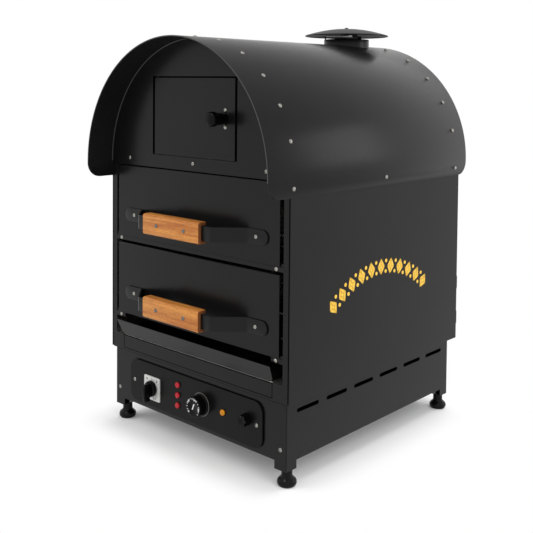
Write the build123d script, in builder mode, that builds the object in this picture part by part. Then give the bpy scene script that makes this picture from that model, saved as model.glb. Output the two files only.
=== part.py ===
from build123d import *
import os
from math import cos, radians, sin, sqrt

os.makedirs("parts", exist_ok=True)

# A countertop baked potato oven: control base on four feet, two baking drawers and a crumb tray
# in a sheet steel body, and a keep-warm chamber with its own door under an arched hood.
# Millimetres. +Z up, the front faces -Y, origin on the floor under the middle of the whole.

# ---------------------------------------------------------------------------- driving sizes
# Sheet
sheet = 1.5  # body, base and door sheet
hood_sheet = 2.0
frame_sheet = 1.2  # drawer frames and crumb tray
face_gap = 0.3  # running gap between parts that slide or turn past each other
fit_gap = 0.1  # screw shank in its hole

# Body and hood
body_width = 500.0  # over the side panels
body_depth = 562.0  # front frame to rear panel
body_height = 389.8  # front frame, above the deck
hood_front_overhang = 62.0
hood_rear_overhang = 26.0
hood_side_gap = 0.5  # side panel to hood skirt
arch_rise = 5.5  # arch centre above the front frame
hood_skirt_drop = 32.0  # skirt below the arch centre
hood_corner_radius = 30.0
gable_lap = 0.5  # gable edge above the front frame
panel_rise = 6.5  # side panel above the front frame
frame_seam = 2.5  # dark line between front frame and side panel
return_depth = 18.0  # folded edges of frame, floor and panels

# Base and feet
foot_height = 32.0
foot_radius = 18.0
foot_neck_radius = 10.0
foot_disc = 9.0  # height of the disc
foot_waist = 19.0  # and of the neck's lower end
foot_bevel = 2.5
foot_stud_radius = 4.0
leg_drop = 15.0
leg_width = 28.0
foot_side_inset = 14.5  # foot's axis inside the base's sides
foot_front_inset = 19.0  # and inside its front
foot_rear_inset = 13.0  # and its rear
base_height = 104.0
base_side_inset = 9.0
base_front_inset = 4.0
base_rear_inset = 19.5
deck_gap = 3.0  # shadow line between base and body
floor_inset = 6.0  # dish of the floor pan inside the base outline
floor_lip_inset = 2.0  # rim of the floor pan inside the panels
wire_hole_radius = 15.0
wire_hole_inset = 92.0  # from the base's left side
wire_hole_from_rear = 60.0
vent_length = 61.5
vent_height = 7.5
vent_pitch = 84.3
vent_count = 6
vent_drop = 15.7  # slot centres below the base top

# Control fascia
fascia_width = 374.0
fascia_height = 86.0
fascia_corner = 20.0
fascia_sheet = 2.0
fascia_spacer = 2.0
fascia_rebate = 3.0
fascia_z_drop = 52.0  # fascia centre below the base top
window_side = 22.0  # base window inside the fascia outline
window_edge = 6.0
control_clear = 0.3

fascia_screw_inset = 14.0
base_screw_inset = 13.7  # base front screws from its side
base_screw_rise = 22.0  # and above its lower edge

isolator_inset = 70.5  # from the fascia's left end
isolator_drop = 5.0  # below the fascia centre
isolator_plate = 48.0
isolator_plate_thick = 2.5
isolator_body = 44.0
isolator_depth = 40.0
isolator_neck_radius = 12.0
isolator_knob_radius = 16.0
isolator_disc_thick = 8.0
isolator_lever_width = 9.0
isolator_lever_up = 12.0
isolator_lever_down = 23.5
isolator_reach = 22.0

lamp_x = -39.4
lamp_drop = -0.5
lamp_pitch = 20.3
lamp_count = 3
lamp_flange_radius = 6.8
lamp_flange_thick = 1.4
lamp_lens_radius = 5.2
lamp_reach = 4.4
lamp_body_radius = 4.6
lamp_depth = 27.0
amber_inset = 100.0  # from the fascia's right end

thermostat_x = 28.0
thermostat_body = 36.0
thermostat_depth = 30.0
dial_skirt_radius = 23.0
dial_skirt_thick = 4.0
dial_radius = 19.0
dial_reach = 22.0

dimmer_inset = 38.0  # from the fascia's right end
dimmer_rise = 5.0
dimmer_body = 26.0
dimmer_depth = 22.0
dimmer_knob_radius = 8.2
dimmer_lobe_radius = 3.4
dimmer_lobes = 6
dimmer_reach = 15.0

shaft_radius = 3.0
shaft_gap = 0.3
shaft_length = 14.0

gland_inset = 62.0  # from the base's left side
gland_drop = 54.0
gland_thread_radius = 8.0
gland_bore_radius = 4.0
gland_hex_radius = 12.5
gland_hex_thick = 5.0
gland_nut_radius = 10.0
gland_reach = 20.0

# Front frame, drawers and crumb tray
post_width = 12.0
rail_height = 9.0
rail_gap = 0.5  # rail or lug below a drawer front
drawer_gap = 8.0  # each side of a drawer front
drawer_front_height = 147.5
drawer_pitch = 162.3
lower_drawer_rise = 78.3  # lower drawer front above the deck
lug_reach = 28.0
lug_bolt_inset = 16.5  # bolt from the opening's edge
front_return = 12.0
tray_sill = 33.0  # liner floor above the deck
low_panel_gap = 1.5
low_panel_inset = 35.5  # lower opening inside the frame edge
low_panel_rise = 3.5
low_panel_top_gap = 3.0
low_panel_lap = 9.5

liner_gap = 1.0  # liner wall outside the drawer opening
motor_bay = 95.0  # liner's back wall to the rear panel
liner_head = 0.5  # liner ceiling above the front frame
liner_flange_gap = 1.0
liner_top_flange = 16.5
slab_thick = 8.0

drawer_frame_inset = 12.0  # frame inside the drawer front's edge
drawer_frame_gap = 13.5  # frame to the fan guard
drawer_frame_height = 30.0
drawer_flange = 12.0
runner_rise = 5.0  # runner shelf above the front's lower edge
runner_over = 4.0  # runner longer than the frame
runner_shelf = 30.0
runner_keeper = 24.0
rack_bar = 4.0
rack_rod_radius = 1.75
rack_rods = 9
rod_sides = 6
rack_gap = 1.0

tray_inset = 29.0  # pan inside the drawer opening
tray_gap = 14.5  # pan to the fan guard
tray_wall = 14.0
tray_lip_width = 432.0
tray_lip_taper = 3.0
tray_lip_height = 30.0
tray_lip_reach = 12.5
tray_lip_start = 1.5
tray_lip_corner = 5.0

# Handles
strap_width = 27.0
strap_thick = 3.0
strap_half = 200.0
strap_bend_out = 149.0
strap_bend_in = 101.0
strap_reach = 50.0  # outer face of the strap from the body's front plane
strap_bend_radius = 6.0
handle_rise = 46.5
strap_screw_x = 171.4
grip_half = 78.5
grip_height = 40.0
grip_depth = 20.0
grip_front = 8.0  # wood in front of the strap
grip_round = 5.0
grip_screw_x = 39.0

# Fasteners
screw_radius = 2.2
bolt_head_radius = 4.6
bolt_neck = 4.0
bolt_head_height = 2.6
screw_head_radius = 4.0
screw_head_height = 1.8
nut_radius = 4.4
nut_height = 3.5

# Gable, warmer door and chamber
gable_gap = 0.3
gable_flange = 8.0
rear_flange = 24.0
gable_screw_x = 191.7
gable_screw_rise = 14.6
warm_door_width = 225.4
warm_door_height = 152.0
warm_door_rise = 27.0  # door's lower edge above the gable's
warm_side_gap = 6.0
warm_top_gap = 3.0
warm_bottom_gap = 1.0
warm_return = 8.5
pivot_inset = 5.0
pivot_radius = 2.0
pivot_reach = 10.0
pivot_block_width = 14.0
pivot_block_depth = 10.5
pivot_tab = 15.0
catch_width = 20.0
catch_height = 20.0
catch_thick = 5.0
knob_inset = 24.7  # warmer knob from the door's edge
knob_rise = 77.0
knob_radius = 14.0
knob_stem_radius = 11.5
knob_reach = 44.0
knob_head = 17.0
door_screw_spread = 16.0

warm_floor_rise = 19.0  # warmer floor top above the front frame
warm_floor_inset = 20.0
warm_rack_inset = 34.0
warm_rack_end = 50.0  # rack inside the body's front and rear
warm_rack_bar = 5.0
warm_rack_rods = 12

# Hood bolts
bolt_step = 15.0
bolt_inset = 4.0  # front bolt row behind the body's front plane
rear_bolt_inset = 19.5  # rear row before its rear plane
side_bolt_drop = 16.2  # side bolts below the arch centre

# Flue and rain cap
flue_from_rear = 84.0
flue_radius = 51.7
flue_rise = 14.0  # collar above the crown of the hood
flue_depth = 24.0  # collar below the crown
cap_radius = 95.5
cap_gap = 7.0
cap_rise = 18.0
cap_lip = 3.0
cap_rivet_radius = 5.0
cap_rivet_height = 2.6
cap_leg_width = 12.0
cap_leg_depth = 16.0
cap_hub_radius = 12.0

# Fan, element and guard
fan_rise = 128.0
fan_radius = 65.0
fan_hub_radius = 14.0
fan_blades = 10
fan_blade_depth = 20.0
fan_from_back = 18.0
motor_radius = 40.0
motor_depth = 58.0
motor_standoff = 8.0
motor_shaft_radius = 4.0
motor_arm_radius = 4.0
element_radius = 85.0
element_tube = 3.25
element_from_back = 28.0
element_tail = 18.0
tail_angle = 8.0
guard_from_back = 50.5
guard_half = 180.0
guard_low = 12.0
guard_height = 300.0
guard_slots = 12
guard_slot_width = 8.0

# Rear door
rear_hinge_gap = 6.0  # door's edge inside the rear panel's edge, hinge side
rear_free_gap = 46.0  # and on the knob side
rear_rise = 8.0
rear_height = 152.0
rear_lap = 10.0
rear_lap_low = 6.0
rear_pan = 5.4
rear_stand = 0.6
rear_vents = 7
rear_vent_pitch = 22.0
rear_vent_length = 36.0
rear_vent_width = 5.0
hinge_radius = 3.5
hinge_pin_radius = 1.6
hinge_length = 27.0
hinge_leaf = 26.0
hinge_leaf_depth = 24.0
hinge_heights = (44.5, 123.0)
hinge_inset = 1.4  # hinge axis inside the rear panel's edge
hinge_out = 4.0  # and behind the rear panel
rear_knob_inset = 20.0
rear_knob_radius = 10.0
rear_knob_reach = 16.0

# ---------------------------------------------------------------------------- datum planes
side_x = body_width / 2
panel_x = side_x - sheet
frame_x = panel_x - frame_seam
hood_length = body_depth + hood_front_overhang + hood_rear_overhang
cap_length = hood_front_overhang + body_depth - flue_from_rear + cap_radius
hood_front_y = -max(hood_length, cap_length) / 2
front_y = hood_front_y + hood_front_overhang
rear_y = front_y + body_depth
back_y = front_y + sheet  # inner face of the front sheets

base_half = side_x - base_side_inset
base_front_y = front_y + base_front_inset
base_rear_y = rear_y - base_rear_inset
base_mid_y = (base_front_y + base_rear_y) / 2
base_width = 2 * base_half
base_depth = base_rear_y - base_front_y
base_bottom_z = foot_height + leg_drop
base_top_z = base_bottom_z + base_height
deck_z = base_top_z + deck_gap
frame_top_z = deck_z + body_height
arch_z = frame_top_z + arch_rise
gable_z = frame_top_z + gable_lap

hood_inner = side_x + hood_side_gap
hood_outer = hood_inner + hood_sheet
hood_skirt_z = arch_z - hood_skirt_drop
crown_z = arch_z + hood_outer

fascia_z = base_top_z - fascia_z_drop
fascia_y = base_front_y - fascia_spacer - fascia_sheet
fascia_back_y = fascia_y + fascia_sheet
fascia_screw_x = fascia_width / 2 - fascia_screw_inset
base_screw_x = base_half - base_screw_inset
base_screw_z = base_bottom_z + base_screw_rise
foot_x = base_half - foot_side_inset
foot_rows = {"front": base_front_y + foot_front_inset, "rear": base_rear_y - foot_rear_inset}
gland_x = -base_half + gland_inset
wire_hole_x = -base_half + wire_hole_inset
isolator_x = -fascia_width / 2 + isolator_inset
amber_x = fascia_width / 2 - amber_inset
dimmer_x = fascia_width / 2 - dimmer_inset

opening_x = frame_x - post_width
drawer_x = opening_x - drawer_gap
lower_z = deck_z + lower_drawer_rise
upper_z = lower_z + drawer_pitch
sill_z = deck_z + tray_sill
low_opening_x = frame_x - low_panel_inset
bolt_x = opening_x - lug_bolt_inset

liner_x = opening_x + liner_gap
liner_top_z = frame_top_z + liner_head
liner_back_y = rear_y - motor_bay
fan_z = deck_z + fan_rise
guard_y = liner_back_y - guard_from_back
drawer_frame_depth = guard_y - drawer_frame_gap - front_y
runner_depth = drawer_frame_depth + runner_over
tray_depth = guard_y - tray_gap - front_y
warm_rack_length = body_depth - 2 * warm_rack_end

warm_z = gable_z + warm_door_rise
warm_x = warm_door_width / 2
warm_top_z = warm_z + warm_door_height
pivot_x = -warm_x + pivot_inset
pivot_y = front_y + pivot_inset
warm_floor_z = frame_top_z + warm_floor_rise

flue_y = rear_y - flue_from_rear
flue_top_z = crown_z + flue_rise
cap_z = flue_top_z + cap_gap

hinge_x = frame_x - hinge_inset
hinge_y = rear_y + hinge_out
rear_door_y = rear_y + rear_stand


# ---------------------------------------------------------------------------- shared shapes
def block(x0, x1, y0, y1, z0, z1, mode=Mode.ADD):
    """A flat piece of sheet, or a cut, between three pairs of planes."""
    with Locations(((x0 + x1) / 2, (y0 + y1) / 2, (z0 + z1) / 2)):
        Box(x1 - x0, y1 - y0, z1 - z0, mode=mode)


def window(half_width, z0, z1, mode=Mode.SUBTRACT):
    """A centred rectangle of a front-facing sketch."""
    with Locations((0, (z0 + z1) / 2)):
        Rectangle(2 * half_width, z1 - z0, mode=mode)


def front_plane(y, x=0.0, z=0.0):
    """A plane facing the front, its own x to the right and its own y up."""
    return Plane((x, y, z), x_dir=(1, 0, 0), z_dir=(0, -1, 0))


def turned(x, z, profile, mode=Mode.ADD):
    """A form turned about an axis that runs front to back; profile in (radius, y)."""
    with BuildSketch(Plane((x, 0, z), x_dir=(1, 0, 0), z_dir=(0, 0, 1))) as section:
        with BuildLine():
            Polyline(*profile, close=True)
        make_face()
    revolve(section.sketch, axis=Axis((x, 0, z), (0, 1, 0)), mode=mode)


def dome_screw(head_radius, head_height, grip_length, nut=False):
    """A domed screw along its own -Z, its head's underside at the origin."""
    with BuildPart() as screw:
        with BuildSketch(Plane.XZ):
            with BuildLine():
                Polyline(
                    (0, head_height),
                    (0, -grip_length),
                    (screw_radius, -grip_length),
                    (screw_radius, 0),
                    (head_radius, 0),
                    (head_radius * 0.6, head_height),
                    close=True,
                )
            make_face()
        revolve(axis=Axis.Z)
        if nut:
            with BuildSketch(Plane.XY.offset(-grip_length)):
                RegularPolygon(nut_radius, 6)
            extrude(amount=nut_height)
    return screw.part


def coach_bolt(grip_length, nut=False):
    """A dome-headed bolt along its own -Z, with a square neck that fills its hole."""
    with BuildPart() as bolt:
        with BuildSketch(Plane.XY):
            Circle(bolt_head_radius)
        extrude(amount=bolt_head_height, taper=50)
        with BuildSketch(Plane.XY):
            Rectangle(bolt_neck, bolt_neck)
        extrude(amount=-grip_length)
        if nut:
            with BuildSketch(Plane.XY.offset(-grip_length)):
                RegularPolygon(nut_radius, 6)
            extrude(amount=nut_height)
    return bolt.part


def neck_holes(stations, depth):
    """Square holes through curved or flat sheet, from planes that face outwards."""
    with BuildSketch(*stations) as holes:
        Rectangle(bolt_neck + 2 * fit_gap, bolt_neck + 2 * fit_gap)
    extrude(holes.sketch, amount=-depth, mode=Mode.SUBTRACT)


panel_top_z = frame_top_z + panel_rise
gable_radius = hood_inner - gable_gap
side_bolt_z = arch_z - side_bolt_drop
side_bolt_ys = (front_y + bolt_inset, (front_y + rear_y) / 2, rear_y - rear_bolt_inset)
row_ys = (front_y + bolt_inset, rear_y - rear_bolt_inset)
bolt_angles = [bolt_step * index for index in range(1, int(180 / bolt_step))]


def hood_stations(radius):
    """The arch bolts: a plane on the given radius, facing outwards, for each."""
    return [
        Plane(
            (radius * cos(radians(angle)), row_y, arch_z + radius * sin(radians(angle))),
            x_dir=(0, 1, 0),
            z_dir=(cos(radians(angle)), 0, sin(radians(angle))),
        )
        for row_y in row_ys
        for angle in bolt_angles
    ]


def skirt_stations(distance):
    """The skirt bolts on both sides."""
    return [
        Plane((sign * distance, bolt_y, side_bolt_z), x_dir=(0, 1, 0), z_dir=(sign, 0, 0))
        for sign in (-1, 1)
        for bolt_y in side_bolt_ys
    ]


# ---------------------------------------------------------------------------- base and feet
# Folded base box with a row of vent slots along each side, the window behind the fascia and the
# gland hole at the rear, and the four corner legs welded under it.
base_corner = 2.0
with BuildPart() as base_box:
    with BuildSketch(Plane.XY.offset(base_bottom_z)):
        with Locations((0, base_mid_y)):
            RectangleRounded(base_width, base_depth, base_corner)
    extrude(amount=base_height)
    with BuildSketch(Plane.XY.offset(base_bottom_z + sheet)):
        with Locations((0, base_mid_y)):
            Rectangle(base_width - 2 * sheet, base_depth - 2 * sheet)
    extrude(amount=base_height - 2 * sheet, mode=Mode.SUBTRACT)
    with BuildSketch(Plane.YZ.offset(-base_half)):
        with Locations((base_mid_y, base_top_z - vent_drop)):
            with GridLocations(vent_pitch, 0, vent_count, 1):
                SlotOverall(vent_length, vent_height)
    extrude(amount=base_width, mode=Mode.SUBTRACT)
    with BuildSketch(front_plane(base_front_y)):
        window(
            fascia_width / 2 - window_side,
            fascia_z - fascia_height / 2 + window_edge,
            fascia_z + fascia_height / 2 - window_edge,
            Mode.ADD,
        )
        with Locations((0, fascia_z)):
            with GridLocations(2 * fascia_screw_x, 0, 2, 1):
                Circle(screw_radius + fit_gap)
        with Locations((0, base_screw_z)):
            with GridLocations(2 * base_screw_x, 0, 2, 1):
                Circle(screw_radius + fit_gap)
    extrude(amount=-sheet, mode=Mode.SUBTRACT)
    with BuildSketch(front_plane(base_rear_y)):
        with Locations((gland_x, base_top_z - gland_drop)):
            Circle(gland_thread_radius + fit_gap)
    extrude(amount=sheet, mode=Mode.SUBTRACT)
    with BuildSketch(Plane.XY.offset(base_top_z)):
        with Locations((wire_hole_x, base_rear_y - wire_hole_from_rear)):
            Circle(wire_hole_radius)
    extrude(amount=-sheet, mode=Mode.SUBTRACT)
with BuildPart() as base_legs:
    with BuildSketch(Plane.XY.offset(foot_height)):
        with Locations((0, base_mid_y)):
            RectangleRounded(base_width, base_depth, base_corner)
            Rectangle(base_width - 2 * sheet, base_depth - 2 * sheet, mode=Mode.SUBTRACT)
            Rectangle(base_width - 2 * leg_width, base_depth + sheet, mode=Mode.SUBTRACT)
            Rectangle(base_width + sheet, base_depth - 2 * leg_width, mode=Mode.SUBTRACT)
    extrude(amount=leg_drop)
    with BuildSketch(Plane.XY.offset(foot_height)):
        with Locations((0, base_mid_y)):
            with GridLocations(base_width - leg_width, base_depth - leg_width, 2, 2):
                Rectangle(leg_width - 2 * sheet, leg_width - 2 * sheet)
        with Locations(*[(0, foot_y) for foot_y in foot_rows.values()]):
            with GridLocations(2 * foot_x, 0, 2, 1):
                Circle(foot_stud_radius + fit_gap, mode=Mode.SUBTRACT)
    extrude(amount=sheet)
base_shell = Compound(
    label="base_shell", children=[*base_box.part.solids(), *base_legs.part.solids()]
)
export_step(base_shell, "parts/base_shell.step")

# Levelling feet: a rubber-soled bell with a waist, its stud and lock nut through the leg.
for end, foot_y in foot_rows.items():
    for side, sign in (("left", -1), ("right", 1)):
        centre = (sign * foot_x, foot_y, 0)
        stud_top = foot_height + leg_drop - 2.0
        with BuildPart() as foot:
            with BuildSketch(front_plane(foot_y, sign * foot_x)):
                with BuildLine():
                    Polyline(
                        (0, 0),
                        (foot_radius - foot_bevel, 0),
                        (foot_radius, foot_bevel),
                        (foot_radius, foot_disc),
                        (foot_neck_radius + foot_bevel, foot_waist - foot_bevel),
                        (foot_neck_radius, foot_height),
                        (foot_stud_radius, foot_height),
                        (foot_stud_radius, stud_top),
                        (0, stud_top),
                        close=True,
                    )
                make_face()
            revolve(axis=Axis(centre, (0, 0, 1)))
            with BuildSketch(Plane(centre).offset(foot_height + sheet)):
                RegularPolygon(foot_stud_radius * 1.9, 6)
            extrude(amount=foot_stud_radius * 1.3)
        foot.part.label = f"foot_{end}_{side}"
        export_step(foot.part, f"parts/foot_{end}_{side}.step")

# ---------------------------------------------------------------------------- controls
# Fascia plate standing off the base on a rebated spacer.
lamp_z = fascia_z - lamp_drop
isolator_z = fascia_z - isolator_drop
dimmer_z = fascia_z + dimmer_rise
with BuildPart() as control_fascia:
    with BuildSketch(front_plane(fascia_y)):
        with Locations((0, fascia_z)):
            RectangleRounded(fascia_width, fascia_height, fascia_corner)
    extrude(amount=-fascia_sheet)
    with BuildSketch(front_plane(fascia_back_y)):
        with Locations((0, fascia_z)):
            RectangleRounded(
                fascia_width - 2 * fascia_rebate,
                fascia_height - 2 * fascia_rebate,
                fascia_corner - fascia_rebate,
            )
        window(
            fascia_width / 2 - window_side,
            fascia_z - fascia_height / 2 + window_edge,
            fascia_z + fascia_height / 2 - window_edge,
        )
    extrude(amount=-fascia_spacer)
    with BuildSketch(front_plane(fascia_y)):
        with Locations((isolator_x, isolator_z)):
            Circle(isolator_neck_radius + fit_gap)
        with Locations((thermostat_x, fascia_z), (dimmer_x, dimmer_z)):
            Circle(shaft_radius + 2 * shaft_gap + 1.4 + fit_gap)
        with Locations((lamp_x, lamp_z)):
            with GridLocations(0, lamp_pitch, 1, lamp_count):
                Circle(lamp_body_radius + fit_gap)
        with Locations((amber_x, lamp_z)):
            Circle(lamp_body_radius + fit_gap)
    extrude(amount=-fascia_sheet, mode=Mode.SUBTRACT)
    with BuildSketch(front_plane(fascia_y)):
        with Locations((0, fascia_z)):
            with GridLocations(2 * fascia_screw_x, 0, 2, 1):
                Circle(screw_radius + fit_gap)
    extrude(amount=-(fascia_sheet + fascia_spacer), mode=Mode.SUBTRACT)
control_fascia.part.label = "control_fascia"
export_step(control_fascia.part, "parts/control_fascia.step")

# Rotary isolator: square front plate, neck through the fascia and switch body behind it.
isolator_face_y = fascia_y - isolator_plate_thick
with BuildPart() as isolator_switch:
    with BuildSketch(front_plane(fascia_y, isolator_x, isolator_z)):
        RectangleRounded(isolator_plate, isolator_plate, 3)
    extrude(amount=isolator_plate_thick)
    with BuildSketch(front_plane(fascia_y, isolator_x, isolator_z)):
        Circle(isolator_neck_radius)
    extrude(amount=-fascia_sheet)
    with BuildSketch(front_plane(fascia_back_y, isolator_x, isolator_z)):
        RectangleRounded(isolator_body, isolator_body, 2)
    extrude(amount=-isolator_depth)
    with Locations(front_plane(isolator_face_y, isolator_x, isolator_z)):
        Hole(shaft_radius + shaft_gap, shaft_length + shaft_gap)
isolator_switch.part.label = "isolator_switch"
export_step(isolator_switch.part, "parts/isolator_switch.step")

# Its knob: a disc with a tapered lever that points down when off.
isolator_disc_y = isolator_face_y - control_clear
with BuildPart() as isolator_knob:
    with BuildSketch(front_plane(isolator_disc_y, isolator_x, isolator_z)):
        Circle(isolator_knob_radius)
    extrude(amount=isolator_disc_thick)
    chamfer(isolator_knob.edges().group_by(Axis.Y)[0], 1.2)
    lever_length = isolator_lever_up + isolator_lever_down
    with BuildSketch(front_plane(isolator_disc_y - 1.0, isolator_x, isolator_z)):
        with Locations((0, (isolator_lever_up - isolator_lever_down) / 2)):
            RectangleRounded(isolator_lever_width, lever_length, isolator_lever_width / 2 - 0.3)
    extrude(amount=isolator_reach - control_clear - 1.0, taper=3)
    with BuildSketch(front_plane(isolator_disc_y, isolator_x, isolator_z)):
        Circle(shaft_radius)
    extrude(amount=-shaft_length)
isolator_knob.part.label = "isolator_knob"
export_step(isolator_knob.part, "parts/isolator_knob.step")


def lamp_profile():
    """Pilot lamp: body through the fascia, flange on it and a domed lens."""
    return (
        (0, fascia_y + lamp_depth),
        (lamp_body_radius, fascia_y + lamp_depth),
        (lamp_body_radius, fascia_y),
        (lamp_flange_radius, fascia_y),
        (lamp_flange_radius, fascia_y - lamp_flange_thick),
        (lamp_lens_radius, fascia_y - lamp_flange_thick),
        (lamp_lens_radius * 0.7, fascia_y - lamp_reach),
        (0, fascia_y - lamp_reach),
    )


# Three red pilot lamps in a column.
with BuildPart() as red_lamps:
    for index in range(lamp_count):
        turned(lamp_x, lamp_z + (index - (lamp_count - 1) / 2) * lamp_pitch, lamp_profile())
red_lamps.part.label = "red_lamps"
export_step(red_lamps.part, "parts/red_lamps.step")

# The amber lamp beside the dimmer.
with BuildPart() as amber_lamp:
    turned(amber_x, lamp_z, lamp_profile())
amber_lamp.part.label = "amber_lamp"
export_step(amber_lamp.part, "parts/amber_lamp.step")

# Thermostat and dimmer bodies: a square case behind the fascia and a bush through it.
bush_radius = shaft_radius + 2 * shaft_gap + 1.4
cases = (
    ("thermostat", thermostat_x, fascia_z, thermostat_body, thermostat_depth),
    ("dimmer", dimmer_x, dimmer_z, dimmer_body, dimmer_depth),
)
for case_name, case_x, case_z, case_size, case_depth in cases:
    with BuildPart() as case:
        with BuildSketch(front_plane(fascia_back_y, case_x, case_z)):
            RectangleRounded(case_size, case_size, 2)
        extrude(amount=-case_depth)
        with BuildSketch(front_plane(fascia_y, case_x, case_z)):
            Circle(bush_radius)
        extrude(amount=-fascia_sheet)
        with Locations(front_plane(fascia_y, case_x, case_z)):
            Hole(shaft_radius + shaft_gap, shaft_length + shaft_gap)
    case.part.label = case_name
    export_step(case.part, f"parts/{case_name}.step")

# Thermostat knob: a thin skirt and a raised dial, on its shaft.
dial_y = fascia_y - control_clear
with BuildPart() as thermostat_knob:
    turned(
        thermostat_x,
        fascia_z,
        (
            (0, dial_y + shaft_length),
            (shaft_radius, dial_y + shaft_length),
            (shaft_radius, dial_y),
            (dial_skirt_radius, dial_y),
            (dial_skirt_radius, dial_y - dial_skirt_thick + 0.8),
            (dial_skirt_radius - 1.2, dial_y - dial_skirt_thick),
            (dial_radius, dial_y - dial_skirt_thick - 0.6),
            (dial_radius - 0.8, dial_y - dial_reach + 1.6),
            (dial_radius - 2.4, dial_y - dial_reach),
            (0, dial_y - dial_reach),
        ),
    )
thermostat_knob.part.label = "thermostat_knob"
export_step(thermostat_knob.part, "parts/thermostat_knob.step")

# Dimmer knob: six rounded lobes.
with BuildPart() as dimmer_knob:
    with BuildSketch(front_plane(dial_y, dimmer_x, dimmer_z)):
        Circle(dimmer_knob_radius)
        with PolarLocations(dimmer_knob_radius, dimmer_lobes, start_angle=30):
            Circle(dimmer_lobe_radius)
    extrude(amount=dimmer_reach, taper=2)
    chamfer(dimmer_knob.faces().sort_by(Axis.Y)[0].edges(), 0.8)
    with BuildSketch(front_plane(dial_y, dimmer_x, dimmer_z)):
        Circle(shaft_radius)
    extrude(amount=-shaft_length)
dimmer_knob.part.label = "dimmer_knob"
export_step(dimmer_knob.part, "parts/dimmer_knob.step")

# Cable gland in the rear wall of the base: threaded body, hexagon and domed clamp nut.
gland_z = base_top_z - gland_drop
with BuildPart() as cable_gland:
    turned(
        gland_x,
        gland_z,
        (
            (gland_bore_radius, base_rear_y - 10),
            (gland_thread_radius, base_rear_y - 10),
            (gland_thread_radius, base_rear_y),
            (gland_nut_radius, base_rear_y),
            (gland_nut_radius, base_rear_y + gland_reach * 0.6),
            (gland_nut_radius * 0.75, base_rear_y + gland_reach),
            (gland_bore_radius, base_rear_y + gland_reach),
        ),
    )
    for hex_y in (base_rear_y + gland_hex_thick, base_rear_y - sheet):
        with BuildSketch(front_plane(hex_y, gland_x, gland_z)):
            RegularPolygon(gland_hex_radius, 6)
            Circle(gland_bore_radius, mode=Mode.SUBTRACT)
        extrude(amount=gland_hex_thick)
cable_gland.part.label = "cable_gland"
export_step(cable_gland.part, "parts/cable_gland.step")

# ---------------------------------------------------------------------------- body shell
# Dished floor pan: the dish stands on the base, its rim carries the panels 3 mm above it.
with BuildPart() as body_floor:
    dish_x = base_half - floor_inset
    dish_front_y = base_front_y + floor_inset
    dish_rear_y = base_rear_y - floor_inset
    dish_top_z = base_top_z + sheet
    block(
        -(panel_x - floor_lip_inset), panel_x - floor_lip_inset,
        front_y + floor_lip_inset, rear_y - floor_lip_inset,
        deck_z - sheet, deck_z,
    )
    block(-dish_x, dish_x, dish_front_y, dish_rear_y, base_top_z, deck_z)
    block(
        -dish_x + sheet, dish_x - sheet, dish_front_y + sheet, dish_rear_y - sheet,
        dish_top_z, deck_z, mode=Mode.SUBTRACT,
    )
    with BuildSketch(Plane.XY.offset(base_top_z)):
        with Locations((wire_hole_x, base_rear_y - wire_hole_from_rear)):
            Circle(wire_hole_radius)
    extrude(amount=deck_gap, mode=Mode.SUBTRACT)
body_floor.part.label = "body_floor"
export_step(body_floor.part, "parts/body_floor.step")

# Side panels: flat sheets that rise inside the hood, with a folded foot on the floor pan.
for side, sign in (("left", -1), ("right", 1)):
    with BuildPart() as side_panel:
        with BuildSketch(front_plane(front_y)):
            with BuildLine():
                Polyline(
                    (sign * side_x, deck_z),
                    (sign * side_x, panel_top_z),
                    (sign * panel_x, panel_top_z),
                    (sign * panel_x, deck_z + sheet),
                    (sign * (panel_x - return_depth - sheet), deck_z + sheet),
                    (sign * (panel_x - return_depth - sheet), deck_z),
                    close=True,
                )
            make_face()
        extrude(amount=-body_depth)
        inner_x = panel_x if sign > 0 else -panel_x + return_depth + 2 * sheet
        for notch_y in (front_y, rear_y - return_depth - 2 * sheet):
            block(
                inner_x - return_depth - 2 * sheet, inner_x,
                notch_y, notch_y + return_depth + 2 * sheet,
                deck_z - sheet, deck_z + 2 * sheet, mode=Mode.SUBTRACT,
            )
        mid_x = sign * (panel_x + side_x) / 2
        for edge_y in (front_y + sheet / 2, rear_y - sheet / 2):
            block(
                mid_x - sheet, mid_x + sheet, edge_y - sheet / 2, edge_y + sheet / 2,
                frame_top_z, panel_top_z + sheet, mode=Mode.SUBTRACT,
            )
        neck_holes([p for p in skirt_stations(side_x) if p.origin.X * sign > 0], 2 * sheet)
    side_panel.part.label = f"side_panel_{side}"
    export_step(side_panel.part, f"parts/side_panel_{side}.step")

# Front frame: posts, the rail between the drawers, the lugs under the lower one and the
# opening for the low panel; its edges are folded back inside the side panels.
rail_tops = (upper_z - rail_gap, lower_z - rail_gap)
with BuildPart() as front_frame:
    with BuildSketch(front_plane(front_y)):
        window(frame_x, deck_z, frame_top_z, Mode.ADD)
        window(opening_x, rail_tops[0], frame_top_z)
        window(opening_x, sill_z, rail_tops[0] - rail_height)
        window(low_opening_x, deck_z + low_panel_rise, sill_z)
        with Locations((0, rail_tops[1] - rail_height / 2)):
            with GridLocations(2 * opening_x - lug_reach, 0, 2, 1):
                Rectangle(lug_reach, rail_height)
        with Locations(*[(0, top - rail_height / 2) for top in rail_tops]):
            with GridLocations(2 * bolt_x, 0, 2, 1):
                Rectangle(bolt_neck + 2 * fit_gap, bolt_neck + 2 * fit_gap, mode=Mode.SUBTRACT)
    extrude(amount=-sheet)
    for sign in (-1, 1):
        edge_x = sign * (frame_x - sheet / 2)
        block(
            edge_x - sheet / 2, edge_x + sheet / 2,
            back_y, back_y + return_depth, deck_z, frame_top_z,
        )
    block(
        -frame_x, frame_x,
        back_y, back_y + return_depth, deck_z, deck_z + sheet,
    )
front_frame.part.label = "front_frame"
export_step(front_frame.part, "parts/front_frame.step")

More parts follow.
